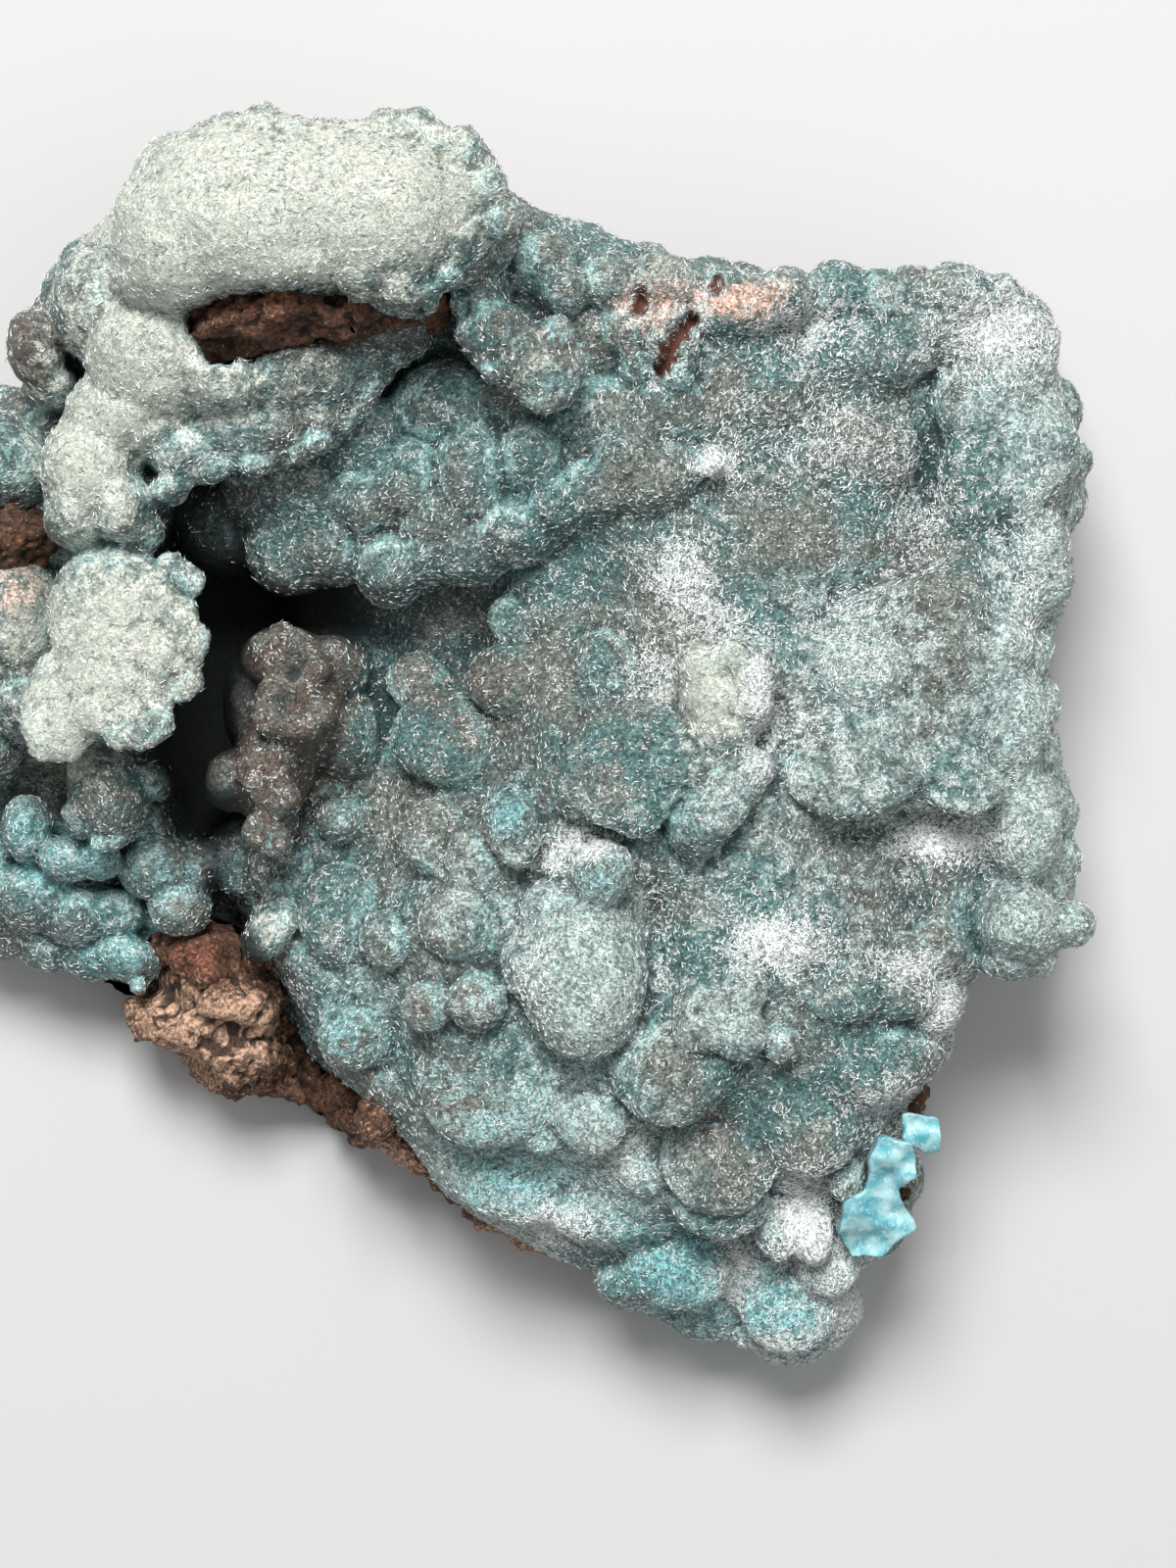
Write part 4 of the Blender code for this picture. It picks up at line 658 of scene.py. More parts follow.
# Soft patches that steer the finish: x, y, radius x, radius y, strength
crustPatches = {
    "frost": [
        (6, 13.4, 2.2, 2.4, 0.62), (8.4, 10.4, 2, 1.4, 0.6), (4.2, 7.4, 1.6, 1.8, 0.5),
        (11, 6.4, 0.9, 2.6, 0.8), (15, 22, 6, 3.4, 0.32), (14, 4, 3, 2, 0.3),
        (16.5, 11, 3, 1.6, 0.4), (21.6, -3.6, 2.6, 1.2, 0.5),
        (20, -11.6, 2.4, 1, 0.6), (-2.2, -5.2, 1.2, 1.2, 0.5), (4.6, -11, 0.8, 4, 0.4),
        (0, -3.8, 2.2, 1.2, 0.9), (12.2, -10.2, 3.4, 1.9, 1), (13.8, -28, 2.2, 3.2, 1),
        (26.5, 29, 5, 3.4, 0.6), (2, -24, 2, 1.4, 0.5), (-2, -28, 3, 1.6, 0.6),
        (22.8, -14.4, 1.6, 2.4, 0.8), (17, -33, 2.6, 3, 0.8), (9.4, -31, 1.6, 2.4, 0.7),
        (11.6, -36, 3, 1.2, 0.6), (24, -3.6, 3.6, 1.6, 0.6),
        (14, 29, 3, 2.4, 0.5), (28, 14, 2, 5, 0.4), (19.5, -20.6, 2.6, 2, 0.6),
        (11, 1.5, 1.4, 1.6, 0.6), (-3.6, -12, 1.6, 3, 0.3), (8.2, 20.4, 1.2, 1, 1),
        (21, 17, 3, 3, 0.35), (17.5, 8, 2.4, 2, 0.3), (-8, -28.4, 3, 1.4, 0.5),
    ],
    "pale": [
        (-22, 37.6, 9, 6, 1.2), (-14, 38, 6, 6, 0.7), (-26, 35, 5, 4, 0.9),
        (-29, 26.5, 6, 5.5, 0.75),
        (-32, 20.5, 3.6, 4.2, 0.8), (-29.5, 9, 5, 6.5, 0.95), (-34, 3.6, 2.4, 3.6, 0.9),
        (-9, 38, 4, 4, 0.5), (27, 29, 4, 3.4, 0.45), (8.3, 6.2, 3.2, 3.4, 1.2),
        (-20, 25, 5, 2.4, 0.35), (-3.4, 27.4, 2.6, 2.6, 0.3), (-20.2, -9.2, 2.6, 1.8, 0.6),
        (5, 33, 3, 1.4, 0.4), (-37, 10.6, 3.6, 4, 0.5),
    ],
    "brown": [
        (-19, 6, 4.2, 4.8, 1.3), (-20, 0, 3.6, 4.8, 1.2), (-5.8, 29, 2.4, 3, 0.4),
        (-31, -0.8, 3, 3.2, 0.5), (-10.4, -14.2, 1.2, 1.2, 0.6), (-35.4, 27.6, 2.4, 3.4, 1.2),
        (-36, 15.8, 2.6, 1.8, 0.9), (-3, 30, 3, 2.6, 0.35), (8.6, -22, 3.4, 4, 0.35),
        (8.4, -26.6, 2.4, 2.2, 0.3), (3, 1.4, 3.6, 2.6, 0.35), (-6, 6.8, 5, 3.4, 0.3),
        (16.5, -20.6, 3, 2, 0.35), (-14, 14, 2, 1.6, 0.25), (-8.6, 4, 4, 4, 0.3),
    ],
    # paler teal in these places
    "paleTeal": [
        (16, 0, 12, 14, 0.45), (-0.4, -12, 4.6, 6.6, 0.95), (29, 4, 3.4, 22, 0.9),
        (-3, -24.5, 9, 4.6, 1.1), (12, -33, 7, 4, 0.9), (-33, -4.6, 2.6, 2.2, 1),
        (-14, -14, 5, 4, 0.5),
        (-8, -6, 6, 5, 0.45), (26, 27, 5, 6, 0.6), (17.5, 8, 3.4, 3.4, 0.6),
        (8.6, -0.8, 2, 3.2, 0.4), (9.4, -15, 3.4, 2.6, 0.7), (28.6, -9.6, 3.6, 3.2, 0.5),
        (18, -27, 3, 4, 0.6), (-11, 14, 8, 2.6, 0.3), (8, 30, 14, 2.4, 0.3),
        (-24, 24, 7, 5, 0.5), (0, 20, 8, 5, 0.12),
    ],
    "pink": [
        (4, 30.8, 1.8, 1.6, 1.2), (10.4, 30.9, 2.6, 1.3, 1.1), (7.3, 31.2, 1.6, 1, 0.9),
        (-36.4, 12, 2, 2.4, 0.5),
    ],
    # painted shade: near black down in the deep hollow and the groove below it
    "hollowShade": [
        (-23.6, 12, 4.8, 6.2, 1.6), (-25.4, 4.6, 3.2, 5, 1.5), (-24.4, -2, 2.4, 3, 0.8),
        (-18, 12.4, 4, 2.4, 0.9), (-22.6, 18.4, 3, 2, 0.6), (-14.6, 9.6, 2.4, 1.6, 0.6),
        (-33, -1.6, 1.4, 1.2, 0.8), (-24, -6.6, 1.2, 1.6, 0.7), (-22, -10, 1, 2, 0.7),
        (-20.9, -12.8, 0.9, 2.4, 1), (-18.7, -16.6, 0.8, 1.8, 0.9),
    ],
    # painted shade in the valleys between lobes
    "valleyShade": [
        (21.8, 19, 2, 4.4, 0.8), (15.6, 17.6, 3, 2, 0.4), (21, -7.4, 2.4, 1.4, 0.7),
        (24, -5.2, 1.6, 1.2, 0.7), (5, -9.5, 1, 3.8, 0.5), (16.5, -3.6, 4.4, 0.9, 0.6),
        (-8, 8.6, 4.2, 1.2, 0.8), (-11, 12, 5, 1.4, 0.6), (13.6, 10.4, 3, 0.9, 0.4),
        (1.5, 13, 6, 2, 0.35), (-14.6, -18.6, 3, 1.6, 0.5), (-12, 27, 4, 2, 0.6),
        (12.4, -18.4, 4, 1.6, 0.3), (-16, -10, 2, 3, 0.3), (24.6, 27, 1.2, 2.4, 0.4),
    ],
    "blue": [
        (12.6, -34, 5, 4, 0.9), (5, -31, 5, 3.6, 0.7), (-4, -26, 6.4, 3.4, 0.6),
        (-6, -20, 5, 4, 0.35), (-16, -15.6, 4, 3.4, 0.5), (-33.4, -5, 3.4, 2.6, 0.85),
        (-27, -6, 3.6, 3.4, 0.45), (-29.6, -11, 3, 2, 0.8), (-4.9, -2, 1.8, 2.6, 0.55),
        (-36, -3, 2.4, 2.6, 0.6), (0.6, -6, 2.2, 1.8, 0.45), (6, 25.6, 1.4, 1.2, 0.6),
        (-2.2, 25.6, 2.2, 1.4, 0.5), (2, -18, 3.4, 3, 0.25), (17, -32, 3, 3, 0.4),
        (-24, 24.6, 2.6, 1, 0.5), (-14.6, 26.4, 2, 2, 0.4), (-38.5, 20.6, 3.4, 3.4, 0.5),
    ],
}
# scales that turn the measured millimetres into shares
crustMeasure = {"high": 2.2, "fineFold": 0.055, "slope": 1.5, "hidden": 1.4, "cut": 0.4, "bareBrown": 0.8,
                "hollowShade": (17.5, 22.0)}


def nearestOn(tree, points):
    places, normals = np.empty_like(points), np.empty_like(points)
    for index, point in enumerate(points * mm):
        place, normal, _, _ = tree.find_nearest(Vector(point))
        places[index], normals[index] = place, normal
    return places / mm, normals


def treeOf(mesh):
    bm = bmesh.new()
    bm.from_mesh(mesh)
    tree = BVHTree.FromBMesh(bm)
    bm.free()
    return tree


def measureCrust(mesh, broad):
    points, normals = pointsOf(mesh), normalsOf(mesh)
    places, broadNormals = nearestOn(treeOf(broad), points)
    over = ((points - places) * broadNormals).sum(axis=1)
    edges = edgesOf(mesh)
    around = neighbourMean(edges, neighbourMean(edges, neighbourMean(edges, points)))
    bulge = ((points - around) * normals).sum(axis=1)
    seen = seenPlaces(points)
    values = {
        "high": np.clip(0.5 + over / crustMeasure["high"] / 2, 0, 1),
        "slope": np.clip((1 - (normals * broadNormals).sum(axis=1)) * crustMeasure["slope"], 0, 1),
        "fold": np.clip(0.5 - bulge / crustMeasure["fineFold"] / 2, 0, 1),
    }
    for name, spots in crustPatches.items():
        values[name] = softSpots(seen, spots)
    # the painted hollow shade is full below the lower height and gone above the upper one
    low, high = crustMeasure["hollowShade"]
    values["hollowShade"] *= np.clip((high - points[:, 2]) / (high - low), 0, 1)
    for name in ("frost", "pink", "pale"):  # these stay on what faces up
        values[name] *= np.clip(normals[:, 2] + 0.7, 0, 1)
    slotDistance = np.min(list(slotDistances(points)), axis=0)
    values["slot"] = np.clip(3 - 2 * slotDistance, 0, 1)
    middle, width, strength = crustSkin["slotRing"]
    ring = np.clip(1 - np.abs(slotDistance - middle) / width, 0, strength)
    values["frost"] = np.maximum(values["frost"], ring)
    return values


crustValues = measureCrust(crustMesh, broadMesh)
print("crust: measured")


def hiddenPoints(points, normals):  # deep in the rock and facing down, or under the cut
    places, rockNormals = nearestOn(treeOf(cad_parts["limonite_matrix"].data), points)
    depth = ((places - points) * rockNormals).sum(axis=1)
    buried = (depth > crustMeasure["hidden"]) & (normals[:, 2] < -0.2)
    return buried | (points[:, 2] < crustMeasure["cut"])


# The crust is shown in a few parts that share their shading along the joins.
crustParts = {
    "ledgePart": (24, 60), "backPart": (10, 24), "middlePart": (-7, 10), "frontPart": (-60, -7),
}


def partOf(name, points, normals, faces, values):
    used, renumbered = np.unique(faces, return_inverse=True)
    part = meshFrom(name, points[used], renumbered.reshape(faces.shape))
    for value in values:
        storeValue(part, value, values[value][used])
    part.shade_smooth()
    part.normals_split_custom_set_from_vertices(normals[used].tolist())
    print(name, 2 * len(faces), "triangles")
    return part


def showCrust(mesh, values, faces):
    points, normals = pointsOf(mesh), normalsOf(mesh)
    middle = points[faces].mean(axis=1)[:, 1]
    parts = []
    for name, (low, high) in crustParts.items():
        own = faces[(middle >= low) & (middle < high)]
        thing = helper("crust_" + name, partOf("crust_" + name, points, normals, own, values))
        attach(thing, "root")
        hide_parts("hemimorphite_crust")
        parts.append(thing)
    return parts


# Node helpers

def newFinish(name):
    finish = bpy.data.materials.new(name)
    finish.use_nodes = True
    return finish, finish.node_tree, finish.node_tree.nodes["Principled BSDF"]


def addNode(tree, kind, inputs=None, **settings):
    node = tree.nodes.new(kind)
    for name, value in settings.items():
        setattr(node, name, value)
    for name, value in (inputs or {}).items():
        if isinstance(value, bpy.types.NodeSocket):
            tree.links.new(value, node.inputs[name])
        else:
            node.inputs[name].default_value = value
    return node


def scaled(tree, vector, gain):
    return addNode(tree, "ShaderNodeVectorMath", {0: vector, 3: gain}, operation="SCALE").outputs[0]


def placeInMm(tree):
    return scaled(tree, addNode(tree, "ShaderNodeTexCoord").outputs["Object"], 1 / mm)


def attributeOf(tree, name):
    return addNode(tree, "ShaderNodeAttribute", attribute_name=name).outputs["Fac"]


def mathOf(tree, operation, first, second=0.0, third=0.0):
    inputs = {0: first, 1: second, 2: third}
    return addNode(tree, "ShaderNodeMath", inputs, operation=operation).outputs[0]


def rangeOf(tree, value, low, high, newLow=0.0, newHigh=1.0):
    inputs = {"Value": value, "From Min": low, "From Max": high, "To Min": newLow, "To Max": newHigh}
    return addNode(tree, "ShaderNodeMapRange", inputs, interpolation_type="SMOOTHSTEP").outputs[0]


def mixColour(tree, share, first, second):
    node = addNode(tree, "ShaderNodeMix", data_type="RGBA")
    for socket, value in ((0, share), (6, first), (7, second)):
        if isinstance(value, bpy.types.NodeSocket):
            tree.links.new(value, node.inputs[socket])
        else:
            node.inputs[socket].default_value = (*value, 1.0) if isinstance(value, tuple) else value
    return node.outputs[2]


def grainOf(tree, place, perMm, detail=2.0, distortion=0.0, roughness=0.5):
    inputs = {"Vector": place, "Scale": perMm, "Detail": detail, "Distortion": distortion}
    return addNode(tree, "ShaderNodeTexNoise", inputs | {"Roughness": roughness}).outputs[0]


def luckOf(tree, place, perMm):  # a different share in each cell
    cells = addNode(tree, "ShaderNodeTexVoronoi", {"Vector": place, "Scale": perMm})
    return addNode(tree, "ShaderNodeSeparateColor", {0: cells.outputs["Color"]}).outputs[0]


def roughen(tree, shader, height, strength, depth):
    inputs = {"Height": height, "Strength": strength, "Distance": depth * mm}
    tree.links.new(addNode(tree, "ShaderNodeBump", inputs).outputs[0], shader.inputs["Normal"])


def strokesOf(tree, place, perMm, length, width):
    # one short stroke in each cell, turned its own way
    cells = addNode(tree, "ShaderNodeTexVoronoi", {"Vector": place, "Scale": perMm})
    inputs = {0: place, 1: cells.outputs["Position"]}
    away = addNode(tree, "ShaderNodeVectorMath", inputs, operation="SUBTRACT").outputs[0]
    colour = addNode(tree, "ShaderNodeSeparateColor", {0: cells.outputs["Color"]})
    inputs = {"Vector": away, "Angle": mathOf(tree, "MULTIPLY", colour.outputs[0], 2 * math.pi)}
    turned = addNode(tree, "ShaderNodeVectorRotate", inputs, rotation_type="Z_AXIS")
    parts = addNode(tree, "ShaderNodeSeparateXYZ", {0: turned.outputs[0]})
    across = rangeOf(tree, mathOf(tree, "ABSOLUTE", parts.outputs[1]), width, width * 0.3)
    along = rangeOf(tree, mathOf(tree, "ABSOLUTE", parts.outputs[0]), length, length * 0.6)
    return mathOf(tree, "MULTIPLY", across, along), colour.outputs[1]


# deep is painted shade in creases; the hollow and valley colours are painted shade; edge is a painted
# highlight; rim's lighter teal is partly painted glow through the thin crust
crustColours = {
    "teal": (0.075, 0.155, 0.150), "grey": (0.140, 0.150, 0.130), "deep": (0.006, 0.026, 0.029),
    "mint": (0.60, 0.62, 0.53), "brown": (0.102, 0.068, 0.051), "pink": (0.58, 0.36, 0.28),
    "blue": (0.115, 0.385, 0.405), "frost": (0.92, 0.93, 0.92), "slot": (0.13, 0.048, 0.028),
    "rim": (0.20, 0.38, 0.37), "hollowShade": (0.004, 0.007, 0.007), "top": (0.31, 0.36, 0.31),
    "edge": (0.55, 0.70, 0.67), "paleTeal": (0.36, 0.455, 0.43), "valleyShade": (0.028, 0.070, 0.070),
}
# the patches that colour the crust, one over the other, and how far each covers; the valley patches are
# painted shade
crustCover = {"paleTeal": 0.85, "valleyShade": 0.75, "blue": 0.7, "brown": 0.85, "mint": 0.9, "pink": 0.9}


def crustFinish():
    colours = crustColours
    finish, tree, shader = newFinish("blueGreenCrust")
    place = placeInMm(tree)
    high, slope, fold = attributeOf(tree, "high"), attributeOf(tree, "slope"), attributeOf(tree, "fold")
    broad = grainOf(tree, place, 0.16, 3.0)
    patchy = grainOf(tree, place, 0.9, 4.0, 0.6)
    fine = grainOf(tree, place, 5.0, 3.0, 0.4)

    # grey field, lobes with paler tops and teal sides; the sides' lighter teal is partly the crust's own
    # colour and partly painted glow of light through the thin rims
    colour = mixColour(tree, rangeOf(tree, broad, 0.38, 0.62), colours["teal"], colours["grey"])
    top = mathOf(tree, "ADD", rangeOf(tree, high, 0.5, 0.85), rangeOf(tree, patchy, 0.3, 0.7, -0.3, 0.2))
    colour = mixColour(tree, rangeOf(tree, top, 0.0, 1.0, 0.0, 0.75), colour, colours["top"])
    stray = rangeOf(tree, patchy, 0.3, 0.7, -0.15, 0.15)
    side = mathOf(tree, "ADD", rangeOf(tree, slope, 0.08, 0.45), stray)
    colour = mixColour(tree, rangeOf(tree, side, 0.1, 0.9, 0.0, 0.8), colour, colours["rim"])

    # patches with broken edges; the valley patches among them are painted shade
    for name, reach in crustCover.items():
        patch = attributeOf(tree, "pale" if name == "mint" else name)
        patch = mathOf(tree, "ADD", patch, rangeOf(tree, patchy, 0.3, 0.7, -0.25, 0.25))
        colour = mixColour(tree, rangeOf(tree, patch, 0.15, 0.8, 0.0, reach), colour, colours[name])
    # painted highlight: pale teal lines along the convex edges of the lobe sides, weaker on brown
    edge = mathOf(tree, "MULTIPLY", rangeOf(tree, fold, 0.42, 0.12), rangeOf(tree, slope, 0.05, 0.35))
    edge = mathOf(tree, "MULTIPLY", edge, rangeOf(tree, attributeOf(tree, "brown"), 0.1, 0.7, 0.4, 0.05))
    colour = mixColour(tree, edge, colour, colours["edge"])

    # painted shade: darker in the low creases and concave folds between the lobes
    lowCreaseShade = mathOf(tree, "MULTIPLY", rangeOf(tree, high, 0.38, 0.02), 0.85)
    colour = mixColour(tree, lowCreaseShade, colour, colours["deep"])
    colour = mixColour(tree, rangeOf(tree, fold, 0.6, 1.0, 0.0, 0.6), colour, colours["deep"])

    # sugary grain: each crystal end catches the light its own way
    calm = rangeOf(tree, attributeOf(tree, "pale"), 0.3, 0.9, 1.0, 0.45)
    for perMm, low, strong in ((3.4, 0.72, 1.3), (7.5, 0.5, 1.55)):
        gain = rangeOf(tree, luckOf(tree, place, perMm), 0.0, 1.0, low - 1, strong - 1)
        colour = scaled(tree, colour, mathOf(tree, "MULTIPLY_ADD", gain, calm, 1.0))

    # white crystal ends: thick in the frosted patches, thin elsewhere
    frost = mathOf(tree, "ADD", attributeOf(tree, "frost"), rangeOf(tree, patchy, 0.35, 0.65, -0.3, 0.3))
    plain = rangeOf(tree, attributeOf(tree, "brown"), 0.2, 0.9, 0.055, 0.015)
    amount = mathOf(tree, "MAXIMUM", mathOf(tree, "MULTIPLY", frost, 0.95), plain)
    for perMm, length, width, share in ((2.7, 0.19, 0.05, 1.0), (5.0, 0.09, 0.04, 0.95)):
        stroke, luck = strokesOf(tree, place, perMm, length, width)
        shown = rangeOf(tree, mathOf(tree, "SUBTRACT", amount, luck), -0.04, 0.04)
        shown = mathOf(tree, "MULTIPLY", mathOf(tree, "MULTIPLY", stroke, shown), share)
        colour = mixColour(tree, shown, colour, colours["frost"])
    veil = mathOf(tree, "ADD", frost, rangeOf(tree, fine, 0.35, 0.65, -0.5, 0.5))
    colour = mixColour(tree, rangeOf(tree, veil, 0.5, 1.2, 0.0, 0.7), colour, colours["frost"])
    # painted shade: near black in the deep hollow
    hollowShade = rangeOf(tree, attributeOf(tree, "hollowShade"), 0.1, 0.9)
    colour = mixColour(tree, hollowShade, colour, colours["hollowShade"])
    colour = mixColour(tree, attributeOf(tree, "slot"), colour, colours["slot"])
    tree.links.new(colour, shader.inputs["Base Color"])

    shader.inputs["Specular IOR Level"].default_value = 0.55
    tree.links.new(rangeOf(tree, fine, 0.3, 0.7, 0.3, 0.6), shader.inputs["Roughness"])
    tiny = mathOf(tree, "MULTIPLY", grainOf(tree, place, 11.0, 2.0), 0.6)
    roughen(tree, shader, mathOf(tree, "ADD", grainOf(tree, place, 4.5, 4.0, 0.5, 0.75), tiny), 0.9, 0.2)
    return finish


blueGreen = crustFinish()
crustFaces = facesOf(crustMesh)
crustFaces = crustFaces[~hiddenPoints(pointsOf(crustMesh), normalsOf(crustMesh))[crustFaces].any(axis=1)]
crustPieces = showCrust(crustMesh, crustValues, crustFaces)
for piece in crustPieces:
    piece.data.materials.append(blueGreen)

# Broken chips of smooth blue crust on the front right edge: heights of their back and front,
# thickness, outline
blueChips = {"grid": 0.16, "smoothing": 3, "bend": 0.9, "ragged": 0.22, "chips": [
    (20.4, 16.2, 2, [
        (18.3, -22.3), (20.7, -22.7), (20.9, -25), (19.8, -25.9), (21, -28.4), (20.1, -29.2), (19.1, -30.2),
        (16.9, -30.5), (16.1, -28.8), (16.2, -26.9), (17.8, -25.8), (18, -23.6),
    ]),
    (20.8, 19.6, 1.2, [(19.9, -21), (22.4, -21.3), (22.5, -23.4), (21.7, -23.7), (20.2, -22.7)]),
]}


def chipMesh():
    slabs = []
    for back, front, thick, outline in blueChips["chips"]:
        places = [inSight(x, y, (back + front) / 2) for x, y in outline]
        slab = outlineSlab("chip", places, -thick, 0.0, "POLY")
        mesh = fuse("chip", slab, blueChips["grid"], blueChips["smoothing"])
        points = pointsOf(mesh)
        low, high = points[:, 1].min(), points[:, 1].max()
        points[:, 2] += front + (back - front) * (points[:, 1] - low) / (high - low)
        bend = softNoise(points, 2.2, 3.3) + 0.25 * softNoise(points, 0.9, 6.1)
        points[:, 2] += blueChips["bend"] * bend
        flat = points * (1, 1, 0)
        ragged = [
            softNoise(flat, 1.5, shift) + 0.5 * softNoise(flat, 0.6, shift + 0.5) for shift in (1.4, 7.2)
        ]
        points[:, :2] += blueChips["ragged"] * np.stack(ragged, axis=1)
        putPoints(mesh, points)
        slabs.append(mesh)
    return joinMeshes("blue_chips", slabs)


def chipFinish():
    finish, tree, shader = newFinish("blueChip")
    place = placeInMm(tree)
    cloud = grainOf(tree, place, 0.8, 3.0, 0.5)
    streak = grainOf(tree, place, 3.5, 3.0, 1.2)
    colour = mixColour(tree, rangeOf(tree, cloud, 0.35, 0.65), (0.09, 0.37, 0.44), (0.36, 0.60, 0.61))
    colour = mixColour(tree, rangeOf(tree, streak, 0.5, 0.72, 0.0, 0.6), colour, (0.66, 0.78, 0.76))
    tree.links.new(colour, shader.inputs["Base Color"])
    shader.inputs["Roughness"].default_value = 0.45
    roughen(tree, shader, streak, 0.3, 0.08)
    return finish


chips = chipMesh()
chips.shade_smooth()
chips.materials.append(chipFinish())
chipPiece = helper("blue_chips", chips)
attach(chipPiece, "root")
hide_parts("hemimorphite_crust")
print("blue chips:", 2 * len(chips.polygons), "triangles")

# Crystal ends as real needles: how many, their lengths, half width, lean from upright, the patch they crowd
# in and how many stand outside it, their common direction and how far each one strays from it
needleSets = {
    "frostNeedles": {"count": 52000, "seed": 21, "length": (0.2, 0.5), "width": 0.05, "tilt": (55, 88),
                     "patch": "frost", "outside": 0.015, "direction": 0.7, "stray": 1.3},
    "crustNeedles": {"count": 38000, "seed": 22, "length": (0.12, 0.36), "width": 0.04, "tilt": (60, 88),
                     "patch": None, "outside": 1.0, "direction": 0.7, "stray": 0.6},
}


def needleMesh(name, settings, mesh, values, faces):
    rng = np.random.default_rng(settings["seed"])
    points, normals = pointsOf(mesh), normalsOf(mesh)
    corners = points[faces]
    area = np.linalg.norm(np.cross(corners[:, 1] - corners[:, 0], corners[:, 3] - corners[:, 0]), axis=1)
    density = np.full(len(faces), settings["outside"])
    if settings["patch"]:
        density += values[settings["patch"]][faces].mean(axis=1) ** 1.5
    density *= (values["high"][faces].mean(axis=1) > 0.3) * (normals[faces].mean(axis=1)[:, 2] > -0.2)
    # no needles in the painted hollow shade, fewer on brown
    bare = values["hollowShade"] + crustMeasure["bareBrown"] * values["brown"]
    density *= np.clip(1 - bare[faces].mean(axis=1), 0, 1)
    weight = area * density
    chosen = rng.choice(len(faces), settings["count"], p=weight / weight.sum())
    side = rng.random((settings["count"], 2))
    start = corners[chosen, 0] + (corners[chosen, 1] - corners[chosen, 0]) * side[:, :1]
    start += (corners[chosen, 3] - corners[chosen, 0]) * side[:, 1:]
    normal = normals[faces[chosen, 0]]
    flow = settings["direction"] + 2.5 * softNoise(start, 7.0, 2.5)
    flow = flow + rng.normal(0, settings["stray"], len(start))
    along = np.stack([np.cos(flow), np.sin(flow), np.zeros(len(flow))], axis=1)
    along -= normal * (along * normal).sum(axis=1)[:, None]
    along /= np.linalg.norm(along, axis=1)[:, None]
    tilt = np.radians(rng.uniform(*settings["tilt"], len(start)))[:, None]
    heading = normal * np.cos(tilt) + along * np.sin(tilt)
    across = np.cross(heading, normal)
    across /= np.linalg.norm(across, axis=1)[:, None]
    upward = np.cross(across, heading)
    length = rng.uniform(*settings["length"], len(start))[:, None]
    width = settings["width"]
    back = start - heading * 0.05 + normal * 0.01
    corner = np.stack([
        back + across * width, back - across * width, back + upward * width * 1.4,
        start + heading * length,
    ], axis=1).reshape(-1, 3)
    base = np.arange(len(start))[:, None] * 4
    triangles = np.concatenate([base + (0, 2, 3), base + (2, 1, 3), base + (1, 0, 3)], axis=0)
    made = meshFrom(name, corner, triangles)
    storeValue(made, "tint", np.repeat(rng.random(len(start)), 4))
    storeValue(made, "frost", np.repeat(values["frost"][faces[chosen, 0]], 4))
    return made


def needleFinish():
    finish, tree, shader = newFinish("crystalEnds")
    tint = mathOf(tree, "MULTIPLY_ADD", attributeOf(tree, "frost"), 0.5, attributeOf(tree, "tint"))
    colour = mixColour(tree, rangeOf(tree, tint, 0.2, 0.9), (0.20, 0.28, 0.27), (0.95, 0.96, 0.94))
    tree.links.new(colour, shader.inputs["Base Color"])
    shader.inputs["Roughness"].default_value = 0.25
    shader.inputs["Specular IOR Level"].default_value = 0.6
    return finish


crystalEnds = needleFinish()
for name, settings in needleSets.items():
    made = needleMesh(name, settings, crustMesh, crustValues, crustFaces)
    made.materials.append(crystalEnds)
    thing = helper(name, made)
    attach(thing, "root")
    print(name, len(made.polygons), "triangles")

# The brown rock
rockShape = {
    "rimHeight": 11.0, "slabGrid": 0.9, "grid": 0.36, "depth": 3.2, "spread": 2.2,
    "least": 2.0, "shoulder": (4.0, 3.0), "slabFoot": -3.0, "covered": 0.6, "fold": 0.16,
    "roughness": [(1.3, 8.0), (0.6, 2.6)],  # reach and grain
    "pits": (2.3, 0.5), "fine": (0.9, 0.42),  # grain and depth
}

rockOutline = [
    (-29, 33), (-21, 37.6), (-9, 36.6), (2, 31.6), (14, 29.4), (25.6, 28.6), (27.6, 20),
    (26, 8), (27, -4), (22.6, -12), (20.6, -20.2), (18, -26.6), (14, -31), (6, -30.4),
    (-2, -31), (-7.6, -28.8), (-11.4, -25), (-15, -22.2), (-20.4, -20), (-25, -18.8),
    (-28.6, -15.6), (-31, -12.4), (-35.6, -11), (-39, -7), (-38.6, 3), (-39.4, 15), (-34.6, 24),
]

rockLumps = [
    (-20.4, 30, 37, 5, 2.5, 6, 4, 0), (-14.4, 30.6, 35.6, 4.8, 1.5, 5, 8, 0),
    (-24, 29.4, 36.6, 2.6, 2.2, 5, 24, 0), (-17.6, 29.6, 35.8, 3.4, 1.9, 5, 10, 0),
    (-20, 31, 30, 6, 4, 9, 0, 0), (-19, 32, 24, 8, 5, 9, 0, 0),
    (-25.2, -11.6, 12.6, 3.6, 2.8, 5, -30, 0), (-22.6, -14.4, 13.4, 2.9, 2.4, 5, 0, 0),
    (-25.6, -15.6, 12.6, 3, 2.6, 5, 0, 0), (-22.6, -17.6, 12.2, 3.2, 2.2, 5, -10, 0),
    (-28, -14.8, 10.6, 2, 2.2, 4, 0, 0), (-13.6, -21.4, 15, 1.4, 1.9, 4, 0, 0),
    (-37.4, 15.8, 25.6, 3.6, 2.2, 4, 0, 0), (20.2, -26.2, 15.4, 0.7, 0.8, 3, 0, 0),
    (20.8, -20, 17.6, 0.9, 1.3, 4, 0, 0),
]

